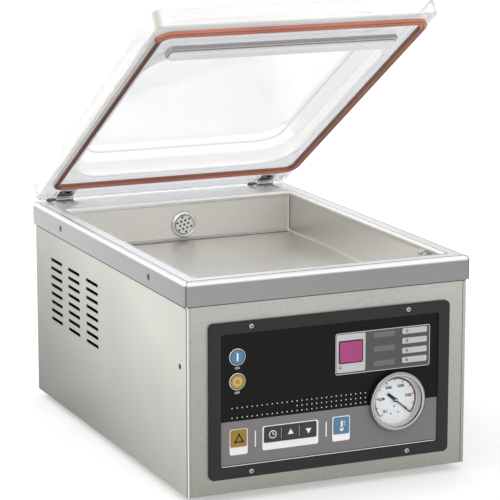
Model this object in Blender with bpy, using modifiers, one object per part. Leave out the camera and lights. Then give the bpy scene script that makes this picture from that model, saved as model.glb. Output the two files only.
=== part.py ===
"""Table-top chamber vacuum packing machine, lid open at its stop.

Metres, +Z up. The front faces -Y, the floor is z = 0, and x = 0 is the middle plane.
"""

import math

import bmesh
import bpy
from mathutils import Euler, Vector
from mathutils.geometry import interpolate_bezier

# Cabinet
RIM_W = 0.330
RIM_D = 0.480
RIM_H = 0.0255
RIM_FILLET = 0.005
RIM_CORNER = 0.006
RIM_SHEET = 0.002
RIM_OVERHANG = 0.0035
BODY_H = 0.204
SHEET = 0.0015
PANEL_RETURN = 0.028
PANEL_SEAM = 0.0006
PANEL_BEND = 0.0025
TRAY_FLANGE = 0.016
FOOT_H = 0.009
FOOT_R = 0.014
FOOT_INSET = 0.045
FOOT_TAPER = 0.002
FOOT_TAPER_H = 0.006

# Chamber
CHAMBER_SIDE_LEDGE = 0.021
CHAMBER_FRONT_LEDGE = 0.024
CHAMBER_REAR_LEDGE = 0.063
CHAMBER_DEPTH = 0.049
CHAMBER_WALL = 0.002
CHAMBER_CORNER = 0.003
CHAMBER_FLOOR_ROUND = 0.003
CHAMBER_FLANGE = 0.010
MOUTH_ROLL = 0.003
MOUTH_DROP = 0.0055

# Suction port in the chamber's back wall
GRILLE_R = 0.0128
GRILLE_FLANGE_R = 0.0156
GRILLE_BELOW_RIM = 0.030
GRILLE_SIDE = 0.0045
GRILLE_HOLE_R = 0.0013
GRILLE_HOLE_PITCH = 0.0053
GRILLE_TURN_DEG = 15.6
PORT_R = 0.006

# Seal bar and its lift
SEAL_END_GAP = 0.012
SEAL_W = 0.012
SEAL_H = 0.017
SEAL_BELOW_RIM = 0.0135
SEAL_BACK = 0.036
WIRE_W = 0.004
WIRE_T = 0.0006
POST_R = 0.004
POST_INSET = 0.014
POST_LENGTH = 0.016
SOCKET_WALL = 0.003
SOCKET_H = 0.015
BLADDER_W = 0.024

# Lid, hinged at the back
LID_SIDE_INSET = 0.0015
LID_FRONT_INSET = 0.002
LID_T = 0.021
LID_CORNER = 0.010
LID_EDGE = 0.003
LID_REAR = 0.010
LID_GAP = 0.006
LID_OPEN_DEG = 32.25
HINGE_BACK_INSET = 0.016
RECESS_SIDE_INSET = 0.001
RECESS_FRONT = 0.017
RECESS_REAR_INSET = 0.008
RECESS_DEPTH = 0.024
RECESS_SLOPE = 0.018
RECESS_CORNER = 0.045
DOME_H = 0.016
DOME_WALL = 0.005
GASKET_SIDE_LEDGE = 0.010
GASKET_BAND = 0.008
GASKET_CORNER = 0.014
GASKET_FRONT_INSET = 0.017
GASKET_REAR_INSET = 0.038
GASKET_FREE_GAP = 0.0005
GASKET_GROOVE = 0.0016
BAR_END_GAP = 0.010
BAR_W = 0.020
BAR_H = 0.005
STRIP_W = 0.014
STRIP_H = 0.0047

# Hinges
HINGE_SIDE_INSET = 0.0347
HINGE_W = 0.021
LEAF_T = 0.0015
LEAF_LENGTH = 0.0235
PIN_R = 0.0013
RUN_CLEAR = 0.00015
MIDDLE_KNUCKLE = 0.0094
SPRING_WIRE_R = 0.00045
SPRING_PITCH = 0.0014
SPRING_TURNS = 4
SPRING_LEG = 0.020

# Control panel: places are in from the overlay's left or right edge, and from its top or bottom edge
PANEL_X = 0.0012
PANEL_UP = 0.0996
BEZEL_SIDE = 0.0136
BEZEL_END = 0.0129
BEZEL_T = 0.003
BEZEL_CORNER = 0.0055
OVERLAY_W = 0.252
OVERLAY_H = 0.1415
OVERLAY_T = 0.0012
OVERLAY_CORNER = 0.0015
ROUND_KEY_R = 0.009
SQUARE_KEY = 0.018
BLOCK_KEY_W = 0.0187
BLOCK_KEY_H = 0.0165
KEY_PROUD = 0.001
KEY_FLANGE = 0.0012
KEY_LIP = 0.0006
KEY_EDGE = 0.0004
KEY_TRAVEL = 0.0008
KEY_STEM_R = 0.0025
KEY_STEM = 0.0025
SWITCH_W = 0.006
SWITCH_H = 0.0035
BOARD_T = 0.0016
BOARD_MARGIN = 0.004
POWER_KEY_LEFT = 0.0184
ON_KEY_DROP = 0.02435
POWER_KEY_PITCH = 0.0263
STOP_KEY_LEFT = 0.0199
SET_KEY_LEFT = 0.0584
BLOCK_KEY_PITCH = 0.0206
TEMP_KEY_LEFT = 0.1383
KEY_ROW_RISE = 0.02985
DISPLAY_RIGHT = 0.0098
DISPLAY_DROP = 0.0108
DISPLAY_W = 0.112
DISPLAY_H = 0.0456
DISPLAY_T = 0.0008
WINDOW_W = 0.0264
WINDOW_H = 0.0227
WINDOW_LEFT = 0.0048
WINDOW_UP = 0.00175

# Vacuum gauge, measured outwards from the overlay's face
GAUGE_RIGHT = 0.0492
GAUGE_DROP = 0.0024
GAUGE_R = 0.0325
GAUGE_CASE_R = 0.0285
GAUGE_WALL = 0.0014
GAUGE_DEPTH = 0.026
GAUGE_RIM_H = 0.0043
GAUGE_BEZEL_TOP = 0.0075
GAUGE_LENS_T = 0.0014
GAUGE_DIAL_T = 0.0008
GAUGE_DIAL_SINK = 0.0026
GAUGE_SPINDLE_R = 0.0008
GAUGE_REST_DEG = -40.0
NEEDLE_LENGTH = 0.0235
NEEDLE_TAIL = 0.012
NEEDLE_W = 0.0016
GAUGE_STEM_R = 0.005
GAUGE_STEM = 0.010
GAUGE_FLANGE_T = 0.0012
GAUGE_FLANGE_R = 0.031
NEEDLE_T = 0.0005
NEEDLE_HUB_R = 0.0026

# Side vents
VENT_ROWS = 8
VENT_PITCH = 0.0101
VENT_LENGTH = 0.039
VENT_H = 0.0040
VENT_TOP = 0.1705
VENT_COLUMNS_Y = (0.1643, 0.1050, 0.0450)

# Pump, motor and electrical parts
PUMP_X = -0.060
PUMP_Y = 0.095
PUMP_SIZE = (0.105, 0.120, 0.128)
PLATE_SIZE = (0.150, 0.330, 0.004)
AXLE_UP = 0.084
MOTOR_R = 0.056
MOTOR_LENGTH = 0.150
MOTOR_FIN = 0.003
MOTOR_FINS = 6
SHAFT_R = 0.007
COWL_LENGTH = 0.034
COWL_WALL = 0.0015
FAN_R = 0.042
FAN_BLADES = 7
BLADE_DEG = 25.0
COWL_SLOTS = 8
TRANSFORMER_AT = (0.095, 0.085)
CORE_SIZE = (0.070, 0.030, 0.066)
LIMB_W = 0.022
WINDOW_GAP = 0.0125
YOKE_H = 0.014
COIL_OVERHANG = 0.011
COIL_CORNER = 0.001
VALVE_AT = (0.085, -0.085)
VALVE_SPACING = 0.050
VALVE_BODY = (0.034, 0.034, 0.040)
VALVE_COIL_R = 0.014
VALVE_COIL_H = 0.036
HOSE_R = 0.006
TUBE_R = 0.0025
INLET_AT = (0.105, 0.060)
INLET_W = 0.048
INLET_H = 0.0225
INLET_BODY_W = 0.0275
INLET_BODY_H = 0.0198
INLET_DEPTH = 0.018
INLET_CORNER = 0.002
EXHAUST_AT = (-0.095, 0.120)
EXHAUST_R = 0.009
EXHAUST_NECK_R = 0.006
EXHAUST_BORE_R = 0.0036
EXHAUST_NUT = 0.006

# Clearance between pieces that touch
SEAT = 0.0003

# Heights and planes worked out from the sizes above
Z_BASE = FOOT_H
Z_SKIRT = Z_BASE + BODY_H
Z_RIM = Z_SKIRT + RIM_H
BODY_W = RIM_W - 2 * RIM_OVERHANG
BODY_D = RIM_D - 2 * RIM_OVERHANG
FRONT_Y = -BODY_D / 2
BACK_Y = BODY_D / 2
Z_PANEL_TOP = Z_RIM - RIM_FILLET - SEAT
INNER_W = BODY_W - 2 * (SHEET + SEAT)
CHAMBER_W = RIM_W - 2 * CHAMBER_SIDE_LEDGE
CHAMBER_Y0 = -RIM_D / 2 + CHAMBER_FRONT_LEDGE
CHAMBER_Y1 = RIM_D / 2 - CHAMBER_REAR_LEDGE
CHAMBER_D = CHAMBER_Y1 - CHAMBER_Y0
CHAMBER_Y = (CHAMBER_Y0 + CHAMBER_Y1) / 2
Z_FLOOR = Z_RIM - CHAMBER_DEPTH
Z_UNDER = Z_FLOOR - CHAMBER_WALL
AXIS_Y = RIM_D / 2 - HINGE_BACK_INSET
AXIS_Z = Z_RIM + LID_GAP / 2
KNUCKLE_R = LID_GAP / 2 - SEAT
HINGE_X = RIM_W / 2 - HINGE_SIDE_INSET
LID_W = RIM_W - 2 * LID_SIDE_INSET
RECESS_W = CHAMBER_W - 2 * RECESS_SIDE_INSET
GASKET_W = CHAMBER_W + 2 * GASKET_SIDE_LEDGE
BAR_LENGTH = CHAMBER_W - 2 * BAR_END_GAP
SEAL_LENGTH = CHAMBER_W - 2 * SEAL_END_GAP
POST_SPACING = SEAL_LENGTH - 2 * POST_INSET
SEAL_Y = CHAMBER_Y0 + SEAL_BACK
Z_SEAL = Z_RIM - SEAL_BELOW_RIM
OVERLAY_Y = FRONT_Y - SEAT - OVERLAY_T
PANEL_Z = Z_BASE + PANEL_UP
BEZEL_W = OVERLAY_W + 2 * BEZEL_SIDE
BEZEL_H = OVERLAY_H + 2 * BEZEL_END
LEFT = -OVERLAY_W / 2
RIGHT = OVERLAY_W / 2
TOP = OVERLAY_H / 2
KEY_ROW = KEY_ROW_RISE - TOP
ON_KEY_AT = (LEFT + POWER_KEY_LEFT, TOP - ON_KEY_DROP)
OFF_KEY_AT = (LEFT + POWER_KEY_LEFT, TOP - ON_KEY_DROP - POWER_KEY_PITCH)
STOP_KEY_AT = (LEFT + STOP_KEY_LEFT, KEY_ROW)
SET_KEY_AT = (LEFT + SET_KEY_LEFT, KEY_ROW)
UP_KEY_AT = (SET_KEY_AT[0] + BLOCK_KEY_PITCH, KEY_ROW)
DOWN_KEY_AT = (UP_KEY_AT[0] + BLOCK_KEY_PITCH, KEY_ROW)
TEMP_KEY_AT = (LEFT + TEMP_KEY_LEFT, KEY_ROW)
DISPLAY_AT = (RIGHT - DISPLAY_RIGHT - DISPLAY_W / 2, TOP - DISPLAY_DROP - DISPLAY_H / 2)
WINDOW_AT = (DISPLAY_AT[0] - DISPLAY_W / 2 + WINDOW_LEFT + WINDOW_W / 2, DISPLAY_AT[1] + WINDOW_UP)
GAUGE_AT = (RIGHT - GAUGE_RIGHT, DISPLAY_AT[1] - DISPLAY_H / 2 - GAUGE_DROP - GAUGE_R)
KEY_BACK = OVERLAY_T + SEAT + KEY_FLANGE
SWITCH_TOP = KEY_BACK + KEY_STEM + KEY_TRAVEL + RUN_CLEAR / 2
BOARD_FACE = SWITCH_TOP + SWITCH_H
Z_TRAY = Z_BASE + SHEET
Z_PLATE = Z_TRAY + SEAT + PLATE_SIZE[2]
Z_AXLE = Z_PLATE + AXLE_UP
MOTOR_BACK_Y = PUMP_Y - PUMP_SIZE[1] / 2 - SEAT
MOTOR_FRONT_Y = MOTOR_BACK_Y - MOTOR_LENGTH
ARC = 4
TURN = 20
GAUGE_TURN = 28
MERGE = 0.000001

# Colours and finishes: colour, roughness, metallic
STEEL = ("steel", (0.60, 0.60, 0.57), 0.34, 1.0)
BRIGHT = ("bright_steel", (0.74, 0.74, 0.74), 0.15, 1.0)
CHARCOAL = ("charcoal", (0.036, 0.034, 0.035), 0.5, 0.0)
BLACK = ("black_panel", (0.012, 0.011, 0.011), 0.35, 0.0)
RUBBER = ("rubber", (0.02, 0.02, 0.02), 0.8, 0.0)
SILICONE = ("red_silicone", (0.45, 0.12, 0.075), 0.5, 0.0)
WHITE = ("white", (0.80, 0.80, 0.78), 0.5, 0.0)
ACRYLIC = ("clear_acrylic", (0.93, 0.94, 0.95), 0.05, 0.0)
BLUE = ("blue_key", (0.11, 0.30, 0.58), 0.4, 0.0)
YELLOW = ("yellow_key", (0.75, 0.48, 0.08), 0.4, 0.0)
AMBER = ("amber_key", (0.58, 0.33, 0.04), 0.4, 0.0)
DARK_KEY = ("dark_key", (0.03, 0.03, 0.032), 0.4, 0.0)
GREY = ("grey_plate", (0.14, 0.14, 0.145), 0.4, 0.0)
MAGENTA = ("magenta_window", (0.54, 0.06, 0.26), 0.25, 0.0)
GREEN = ("board_green", (0.02, 0.16, 0.06), 0.5, 0.0)
CAST = ("cast_aluminium", (0.42, 0.43, 0.44), 0.55, 1.0)
ENAMEL = ("motor_enamel", (0.10, 0.13, 0.17), 0.5, 0.0)
BRASS = ("brass", (0.62, 0.45, 0.18), 0.3, 1.0)
IRON = ("laminated_iron", (0.20, 0.19, 0.18), 0.6, 1.0)
COPPER = ("copper", (0.60, 0.28, 0.12), 0.4, 1.0)
TAPE = ("woven_tape", (0.55, 0.42, 0.26), 0.6, 0.0)

FRONTWARD = (math.pi / 2, 0, 0)
BACKWARD = (-math.pi / 2, 0, 0)
RIGHTWARD = (0, math.pi / 2, 0)


def clear_scene():
    for obj in list(bpy.data.objects):
        bpy.data.objects.remove(obj, do_unlink=True)


def collection(name):
    made = bpy.data.collections.new(name)
    bpy.context.scene.collection.children.link(made)
    return made


clear_scene()
PARTS = collection("vacuum_packing_machine")
CUTTERS = collection("cutters")


def material(finish):
    name, colour, roughness, metallic = finish
    found = bpy.data.materials.get(name)
    if found:
        return found
    made = bpy.data.materials.new(name)
    made.use_nodes = True
    shader = made.node_tree.nodes["Principled BSDF"]
    shader.inputs["Base Color"].default_value = (*colour, 1)
    shader.inputs["Roughness"].default_value = roughness
    shader.inputs["Metallic"].default_value = metallic
    return made


def add(name, data, finish, at=(0, 0, 0), turn=(0, 0, 0), parent=None):
    """Puts mesh or curve data into the scene, as a cutter where it has no finish."""
    obj = bpy.data.objects.new(name, data)
    obj.location = at
    obj.rotation_euler = turn
    obj.parent = parent
    if finish:
        data.materials.append(material(finish))
        PARTS.objects.link(obj)
    else:
        CUTTERS.objects.link(obj)
        obj.hide_render = True
        obj.display_type = "WIRE"
    return obj


def mesh_from(bm, name):
    bmesh.ops.remove_doubles(bm, verts=bm.verts, dist=MERGE)
    bmesh.ops.recalc_face_normals(bm, faces=bm.faces)
    mesh = bpy.data.meshes.new(name)
    bm.to_mesh(mesh)
    bm.free()
    mesh.shade_smooth()
    mesh.set_sharp_from_angle(angle=math.radians(35))
    return mesh


def box(name, size, finish, at=(0, 0, 0), turn=(0, 0, 0), parent=None, bevel=0.0):
    """A box centred on its place, with rounded edges where a bevel is given."""
    bm = bmesh.new()
    bmesh.ops.create_cube(bm, size=1)
    bmesh.ops.scale(bm, vec=size, verts=bm.verts)
    if bevel:
        edges = bm.edges[:]
        bmesh.ops.bevel(bm, geom=edges, offset=bevel, segments=2, profile=0.5, affect="EDGES", material=-1)
    return add(name, mesh_from(bm, name), finish, at, turn, parent)


def ring(width, depth, corner, height, x=0.0, y=0.0):
    """One section of a loft: a rounded rectangle at a height."""
    return width, depth, min(corner, width / 2, depth / 2), height, x, y


def inset_ring(section, inset, height, least=0.0004):
    """The same section drawn in by an inset, with its corners kept concentric."""
    width, depth, corner, _, x, y = section
    return ring(width - 2 * inset, depth - 2 * inset, max(corner - inset, least), height, x, y)


def ring_points(section, steps):
    width, depth, corner, height, x, y = section
    points = []
    for quarter, (across, along) in enumerate(((1, 1), (-1, 1), (-1, -1), (1, -1))):
        for step in range(steps + 1):
            angle = math.pi / 2 * (quarter + step / steps)
            px = x + across * (width / 2 - corner) + corner * math.cos(angle)
            py = y + along * (depth / 2 - corner) + corner * math.sin(angle)
            points.append((px, py, height))
    return points


def loft_bmesh(bm, sections, steps=ARC, closed=False):
    """Skins stacked sections. Open stacks are capped; a closed one joins its last to its first."""
    loops = [[bm.verts.new(point) for point in ring_points(section, steps)] for section in sections]
    following = loops[1:] + loops[:1] if closed else loops[1:]
    for lower, upper in zip(loops, following):
        for i in range(len(lower)):
            bm.faces.new((lower[i - 1], lower[i], upper[i], upper[i - 1]))
    if not closed:
        bm.faces.new(loops[0])
        bm.faces.new(loops[-1])


def loft(name, sections, finish, at=(0, 0, 0), turn=(0, 0, 0), parent=None, steps=ARC, closed=False):
    bm = bmesh.new()
    loft_bmesh(bm, sections, steps, closed)
    return add(name, mesh_from(bm, name), finish, at, turn, parent)


def arc_insets(radius, steps=3):
    """(inset, rise) pairs of a quarter round, from the side wall to the top."""
    angles = [math.pi / 2 * step / steps for step in range(steps + 1)]
    return [(radius * (1 - math.cos(a)), radius * math.sin(a)) for a in angles]


def turned(name, profile, finish, at=(0, 0, 0), turn=(0, 0, 0), parent=None, steps=TURN, ring_shape=False):
    """A turned piece: (radius, height) points that run down its outer side, spun about its own Z."""
    count = len(profile)
    edges = [(i, i + 1) for i in range(count - 1)]
    if ring_shape:
        edges.append((count - 1, 0))
    mesh = bpy.data.meshes.new(name)
    mesh.from_pydata([(r, 0, z) for r, z in profile], edges, [])
    obj = add(name, mesh, finish, at, turn, parent)
    screw = obj.modifiers.new("turn", "SCREW")
    screw.steps = steps
    screw.render_steps = steps
    screw.use_merge_vertices = True
    screw.merge_threshold = MERGE
    screw.use_smooth_shade = False
    return obj


def rod(name, radius, low, high, finish, at=(0, 0, 0), turn=(0, 0, 0), parent=None, steps=TURN):
    profile = [(0, high), (radius, high), (radius, low), (0, low)]
    return turned(name, profile, finish, at, turn, parent, steps)


def sleeve(name, outer, inner, low, high, finish, at=(0, 0, 0), turn=(0, 0, 0), parent=None, steps=TURN):
    profile = [(inner, high), (outer, high), (outer, low), (inner, low)]
    return turned(name, profile, finish, at, turn, parent, steps, ring_shape=True)


def tube(name, points, radius, finish, resolution=2, parent=None):
    curve = bpy.data.curves.new(name, "CURVE")
    curve.dimensions = "3D"
    curve.bevel_depth = radius
    curve.bevel_resolution = resolution
    curve.use_fill_caps = True
    spline = curve.splines.new("POLY")
    spline.points.add(len(points) - 1)
    for point, place in zip(spline.points, points):
        point.co = (*place, 1)
    return add(name, curve, finish, parent=parent)


def hose(name, radius, start, leave, end, arrive):
    """A hose that leaves its start and reaches its end straight, along two unit directions."""
    first = start + radius * leave
    last = end - radius * arrive
    bend = (end - start).length / 3
    route = interpolate_bezier(first, first + bend * leave, last - bend * arrive, last, 12)
    return tube(name, [start, *route, end], radius, RUBBER)


def combine(target, tool, operation):
    change = target.modifiers.new(tool.name, "BOOLEAN")
    change.operation = operation
    change.solver = "EXACT"
    change.object = tool
    return target


def cut(target, *tools):
    for tool in tools:
        combine(target, tool, "DIFFERENCE")
    return target


def join(target, *tools):
    for tool in tools:
        combine(target, tool, "UNION")
    return target


def group(name, pieces, finish, parent=None):
    """One mesh of separate solids: each piece is a function that fills a bmesh."""
    bm = bmesh.new()
    for piece in pieces:
        piece(bm)
    return add(name, mesh_from(bm, name), finish, parent=parent)


def settle(bm, before, at, turn):
    """Turns and moves what was added to a bmesh since the set of vertices before."""
    verts = [vert for vert in bm.verts if vert not in before]
    bmesh.ops.transform(bm, matrix=Euler(turn).to_matrix().to_4x4(), verts=verts)
    bmesh.ops.translate(bm, vec=at, verts=verts)


def loft_piece(sections, at=(0, 0, 0), turn=(0, 0, 0), steps=ARC, closed=False):
    def fill(bm):
        before = set(bm.verts)
        loft_bmesh(bm, sections, steps, closed)
        settle(bm, before, at, turn)

    return fill


def disc(radius, height):
    """A round section of a loft."""
    return ring(2 * radius, 2 * radius, radius, height)


def hole_piece(radius, reach, at, turn, steps=2):
    """A round hole through everything within reach of its place."""
    return loft_piece([disc(radius, -reach), disc(radius, reach)], at, turn, steps)


def block_piece(size, at):
    def fill(bm):
        verts = bmesh.ops.create_cube(bm, size=1)["verts"]
        bmesh.ops.scale(bm, vec=size, verts=verts)
        bmesh.ops.translate(bm, vec=at, verts=verts)

    return fill


def empty(name, at, turn=(0, 0, 0)):
    made = bpy.data.objects.new(name, None)
    made.location = at
    made.rotation_euler = turn
    PARTS.objects.link(made)
    return made


def on_panel(place_at, out=0.0):
    """World place of a point of the control panel, out from the overlay's face."""
    across, up = place_at
    return PANEL_X + across, OVERLAY_Y - out, PANEL_Z + up


def base_tray():
    outer = ring(INNER_W, BODY_D - 2 * (SHEET + SEAT), SHEET, Z_BASE)
    brim = Z_BASE + TRAY_FLANGE
    sections = [
        outer,
        inset_ring(outer, 0, brim),
        inset_ring(outer, SHEET, brim),
        inset_ring(outer, SHEET, Z_TRAY),
    ]
    return loft("base_tray", sections, STEEL)


def rubber_feet():
    across = BODY_W / 2 - FOOT_INSET
    along = BODY_D / 2 - FOOT_INSET
    top = FOOT_H - SEAT
    profile = [(0, top), (FOOT_R, top), (FOOT_R, FOOT_TAPER_H), (FOOT_R - FOOT_TAPER, 0), (0, 0)]
    turned("front_left_foot", profile, RUBBER, (-across, -along, 0))
    turned("front_right_foot", profile, RUBBER, (across, -along, 0))
    turned("rear_left_foot", profile, RUBBER, (-across, along, 0))
    turned("rear_right_foot", profile, RUBBER, (across, along, 0))


def side_panel(name, side):
    height = Z_PANEL_TOP - Z_BASE
    centre = (side * (BODY_W - SHEET) / 2, 0, Z_BASE + height / 2)
    panel = box(name, (SHEET, BODY_D, height), STEEL, centre)
    slot = [ring(VENT_H, VENT_LENGTH, VENT_H / 2, z) for z in (-2 * SHEET, 2 * SHEET)]
    slots = []
    for y in VENT_COLUMNS_Y:
        for row in range(VENT_ROWS):
            at = (centre[0], y, Z_BASE + VENT_TOP - row * VENT_PITCH)
            slots.append(loft_piece(slot, at, RIGHTWARD, steps=2))
    return cut(panel, group(name + "_vents", slots, None))


def front_panel():
    """A plate with its two sides bent back, pierced behind the keys, the display and the gauge."""
    width = INNER_W - 2 * PANEL_SEAM
    height = Z_PANEL_TOP - Z_BASE
    middle = Z_BASE + height / 2
    depth = 2 * PANEL_RETURN
    outer = ring(width, depth, PANEL_BEND, 0, y=FRONT_Y + PANEL_RETURN)
    panel = loft("front_panel", [inset_ring(outer, 0, z) for z in (Z_BASE, Z_PANEL_TOP)], STEEL)
    inner = inset_ring(outer, SHEET, 0)
    hollow = loft("front_panel_hollow", [inset_ring(inner, 0, z) for z in (0, Z_RIM)], None)
    rear = box("front_panel_rear", (2 * width, depth, 2 * height), None, (0, FRONT_Y + depth, middle))
    foot_h = 2 * (TRAY_FLANGE + SEAT)
    foot_at = (0, FRONT_Y + SHEET + SEAT / 2 + depth, Z_BASE)
    foot = box("front_panel_foot", (2 * width, 2 * depth, foot_h), None, foot_at)
    cut(panel, hollow, rear, foot)
    for name, (at, key_w, key_h, corner, _) in KEYS.items():
        grow = 2 * (KEY_LIP + 2 * SEAT)
        hole = [ring(key_w + grow, key_h + grow, corner + grow / 2, z) for z in (-depth / 2, depth / 2)]
        cut(panel, loft(name + "_panel_hole", hole, None, on_panel(at), FRONTWARD, steps=3))
    return cut(panel, GAUGE_HOLE)


def back_panel():
    height = Z_PANEL_TOP - Z_BASE
    at = (0, BACK_Y - SHEET / 2, Z_BASE + height / 2)
    panel = box("back_panel", (INNER_W - 2 * PANEL_SEAM, SHEET, height), STEEL, at)
    socket = ring(INLET_BODY_W + 2 * SEAT, INLET_BODY_H + 2 * SEAT, INLET_CORNER, -2 * SHEET)
    inlet = [socket, inset_ring(socket, 0, 2 * SHEET)]
    holes = [
        loft_piece(inlet, on_back(INLET_AT), BACKWARD),
        hole_piece(EXHAUST_NECK_R + SEAT, 2 * SHEET, on_back(EXHAUST_AT), BACKWARD, ARC),
    ]
    return cut(panel, group("back_panel_holes", holes, None))


def on_back(place_at):
    """World place of a point of the back panel's outer face, as (across, up from the base)."""
    across, up = place_at
    return across, BACK_Y, Z_BASE + up


def top_frame():
    """The rim: a skirt, a rounded shoulder, the flat ledge and the lip that turns down into the chamber."""
    outer = ring(RIM_W, RIM_D, RIM_CORNER, Z_SKIRT)
    mouth = ring(CHAMBER_W, CHAMBER_D, CHAMBER_CORNER, Z_RIM, y=CHAMBER_Y)
    sections = [outer]
    for inset, rise in arc_insets(RIM_FILLET):
        sections.append(inset_ring(outer, inset, Z_RIM - RIM_FILLET + rise))
    for inset, rise in reversed(arc_insets(MOUTH_ROLL)):
        sections.append(inset_ring(mouth, -inset, Z_RIM - MOUTH_ROLL + rise))
    sections += [
        inset_ring(mouth, 0, Z_RIM - MOUTH_DROP),
        inset_ring(mouth, -RIM_SHEET, Z_RIM - MOUTH_DROP),
        inset_ring(mouth, -RIM_SHEET - MOUTH_ROLL / 2, Z_RIM - RIM_SHEET),
        inset_ring(outer, RIM_FILLET, Z_RIM - RIM_SHEET),
        inset_ring(outer, RIM_SHEET, Z_RIM - RIM_FILLET),
        inset_ring(outer, RIM_SHEET, Z_SKIRT),
    ]
    return loft("top_frame", sections, STEEL, closed=True)


def vacuum_chamber():
    """A deep-drawn tub that hangs under the rim's lip, with two bushes for the seal bar's posts."""
    inner = ring(CHAMBER_W, CHAMBER_D, CHAMBER_CORNER, Z_FLOOR, y=CHAMBER_Y)
    brim = Z_RIM - MOUTH_DROP - SEAT
    low_round = CHAMBER_FLOOR_ROUND
    sections = [inset_ring(inner, low_round - CHAMBER_WALL, Z_UNDER)]
    sections += [
        inset_ring(inner, -CHAMBER_WALL, Z_UNDER + low_round),
        inset_ring(inner, -CHAMBER_WALL, brim - CHAMBER_WALL),
        inset_ring(inner, -CHAMBER_WALL - CHAMBER_FLANGE, brim - CHAMBER_WALL),
        inset_ring(inner, -CHAMBER_WALL - CHAMBER_FLANGE, brim),
        inset_ring(inner, 0, brim),
    ]
    for inset, rise in arc_insets(low_round):
        sections.append(inset_ring(inner, inset, Z_FLOOR + low_round - rise))
    chamber = loft("vacuum_chamber", sections, STEEL)
    port = rod("port_hole", PORT_R + SEAT, -GRILLE_R, GRILLE_R, None, PORT_AT, FRONTWARD)
    inner = POST_R + SEAT
    outer = inner + SOCKET_WALL
    low = Z_FLOOR - CHAMBER_WALL / 2
    top = Z_FLOOR + SOCKET_H
    wall = [disc(outer, low), disc(outer, top), disc(inner, top), disc(inner, low)]
    places = [(x, SEAL_Y, 0) for x in (-POST_SPACING / 2, POST_SPACING / 2)]
    sockets = group("seal_sockets", [loft_piece(wall, at, closed=True) for at in places], None)
    return join(cut(chamber, port), sockets)


PORT_AT = (GRILLE_SIDE, CHAMBER_Y1, Z_RIM - GRILLE_BELOW_RIM)


def suction_grille():
    """A dished cap with a honeycomb of thirteen holes; its spigot goes through the chamber's wall."""
    proud = GRILLE_R / 4
    face = proud * 0.45
    profile = [
        (0, face),
        (GRILLE_R * 0.95, face),
        (GRILLE_R, proud * 0.9),
        (GRILLE_R * 1.06, proud),
        (GRILLE_FLANGE_R, proud * 0.3),
        (GRILLE_FLANGE_R, SEAT),
        (PORT_R, SEAT),
        (PORT_R, -CHAMBER_WALL),
        (0, -CHAMBER_WALL),
    ]
    grille = turned("suction_grille", profile, BRIGHT, PORT_AT, FRONTWARD)
    holes = [hole_piece(GRILLE_HOLE_R, proud / 4, (0, 0, face), (0, 0, 0))]
    for step in range(12):
        reach = GRILLE_HOLE_PITCH * (1 if step % 2 == 0 else math.sqrt(3))
        angle = math.radians(GRILLE_TURN_DEG + 30 * step)
        at = (reach * math.cos(angle), reach * math.sin(angle), face)
        holes.append(hole_piece(GRILLE_HOLE_R, proud / 4, at, (0, 0, 0)))
    drill = group("grille_drill", holes, None)
    drill.location = PORT_AT
    drill.rotation_euler = FRONTWARD
    return cut(grille, drill)


ELBOW_Y = CHAMBER_Y1 + CHAMBER_WALL + 3 * HOSE_R
ELBOW_END_Z = PORT_AT[2] - 5 * HOSE_R
PUMP_INLET = (PUMP_X, PUMP_Y + PUMP_SIZE[1] / 2, Z_PLATE + 0.8 * PUMP_SIZE[2])
PUMP_OUTLET_X = EXHAUST_AT[0]
NIPPLE_LENGTH = 0.010


def suction_elbow():
    start = Vector((PORT_AT[0], CHAMBER_Y1 + CHAMBER_WALL + SEAT, PORT_AT[2]))
    corner = Vector((PORT_AT[0], ELBOW_Y, PORT_AT[2]))
    end = Vector((PORT_AT[0], ELBOW_Y, ELBOW_END_Z))
    bend = 1.8 * HOSE_R
    points = [start]
    for step in range(5):
        angle = math.pi / 2 * step / 4
        points.append(corner + Vector((0, bend * (math.sin(angle) - 1), bend * (math.cos(angle) - 1))))
    return tube("suction_elbow", points + [end], HOSE_R * 1.25, BRASS)


def vacuum_hose():
    start = Vector((PORT_AT[0], ELBOW_Y, ELBOW_END_Z - SEAT))
    end = Vector(PUMP_INLET) + Vector((0, NIPPLE_LENGTH + SEAT, 0))
    return hose("vacuum_hose", HOSE_R, start, Vector((0, 0, -1)), end, Vector((0, -1, 0)))


def seal_bar_parts():
    lift = empty("seal_lift", (0, SEAL_Y, Z_SEAL))
    edge = SEAL_W / 6
    sections = [ring(SEAL_LENGTH, SEAL_W, edge, -SEAL_H)]
    sections += [inset_ring(sections[0], inset, rise - edge) for inset, rise in arc_insets(edge)]
    bar = loft("seal_bar", sections, CAST, parent=lift)
    for x in (-POST_SPACING / 2, POST_SPACING / 2):
        post = rod("seal_post", POST_R, -SEAL_H - POST_LENGTH, -SEAL_H / 2, None, (x, 0, 0), parent=lift)
        join(bar, post)
    wire_at = (0, 0, SEAT + WIRE_T / 2)
    box("seal_wire", (SEAL_LENGTH - 2 * edge, WIRE_W, WIRE_T), TAPE, wire_at, parent=lift)


def lift_bladder():
    """The rubber bag under the seal bar, flat until it is blown up."""
    length = POST_SPACING - 4 * (POST_R + SEAT + SOCKET_WALL)
    low = Z_FLOOR + SEAT
    high = Z_SEAL - SEAL_H - SEAT
    middle = (low + high) / 2
    belly = ring(length, BLADDER_W, BLADDER_W / 3, middle, y=SEAL_Y)
    sections = [
        inset_ring(belly, BLADDER_W / 5, low),
        inset_ring(belly, BLADDER_W / 20, low * 0.7 + high * 0.3),
        belly,
        inset_ring(belly, BLADDER_W / 20, low * 0.3 + high * 0.7),
        inset_ring(belly, BLADDER_W / 5, high),
    ]
    return loft("lift_bladder", sections, RUBBER)


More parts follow.
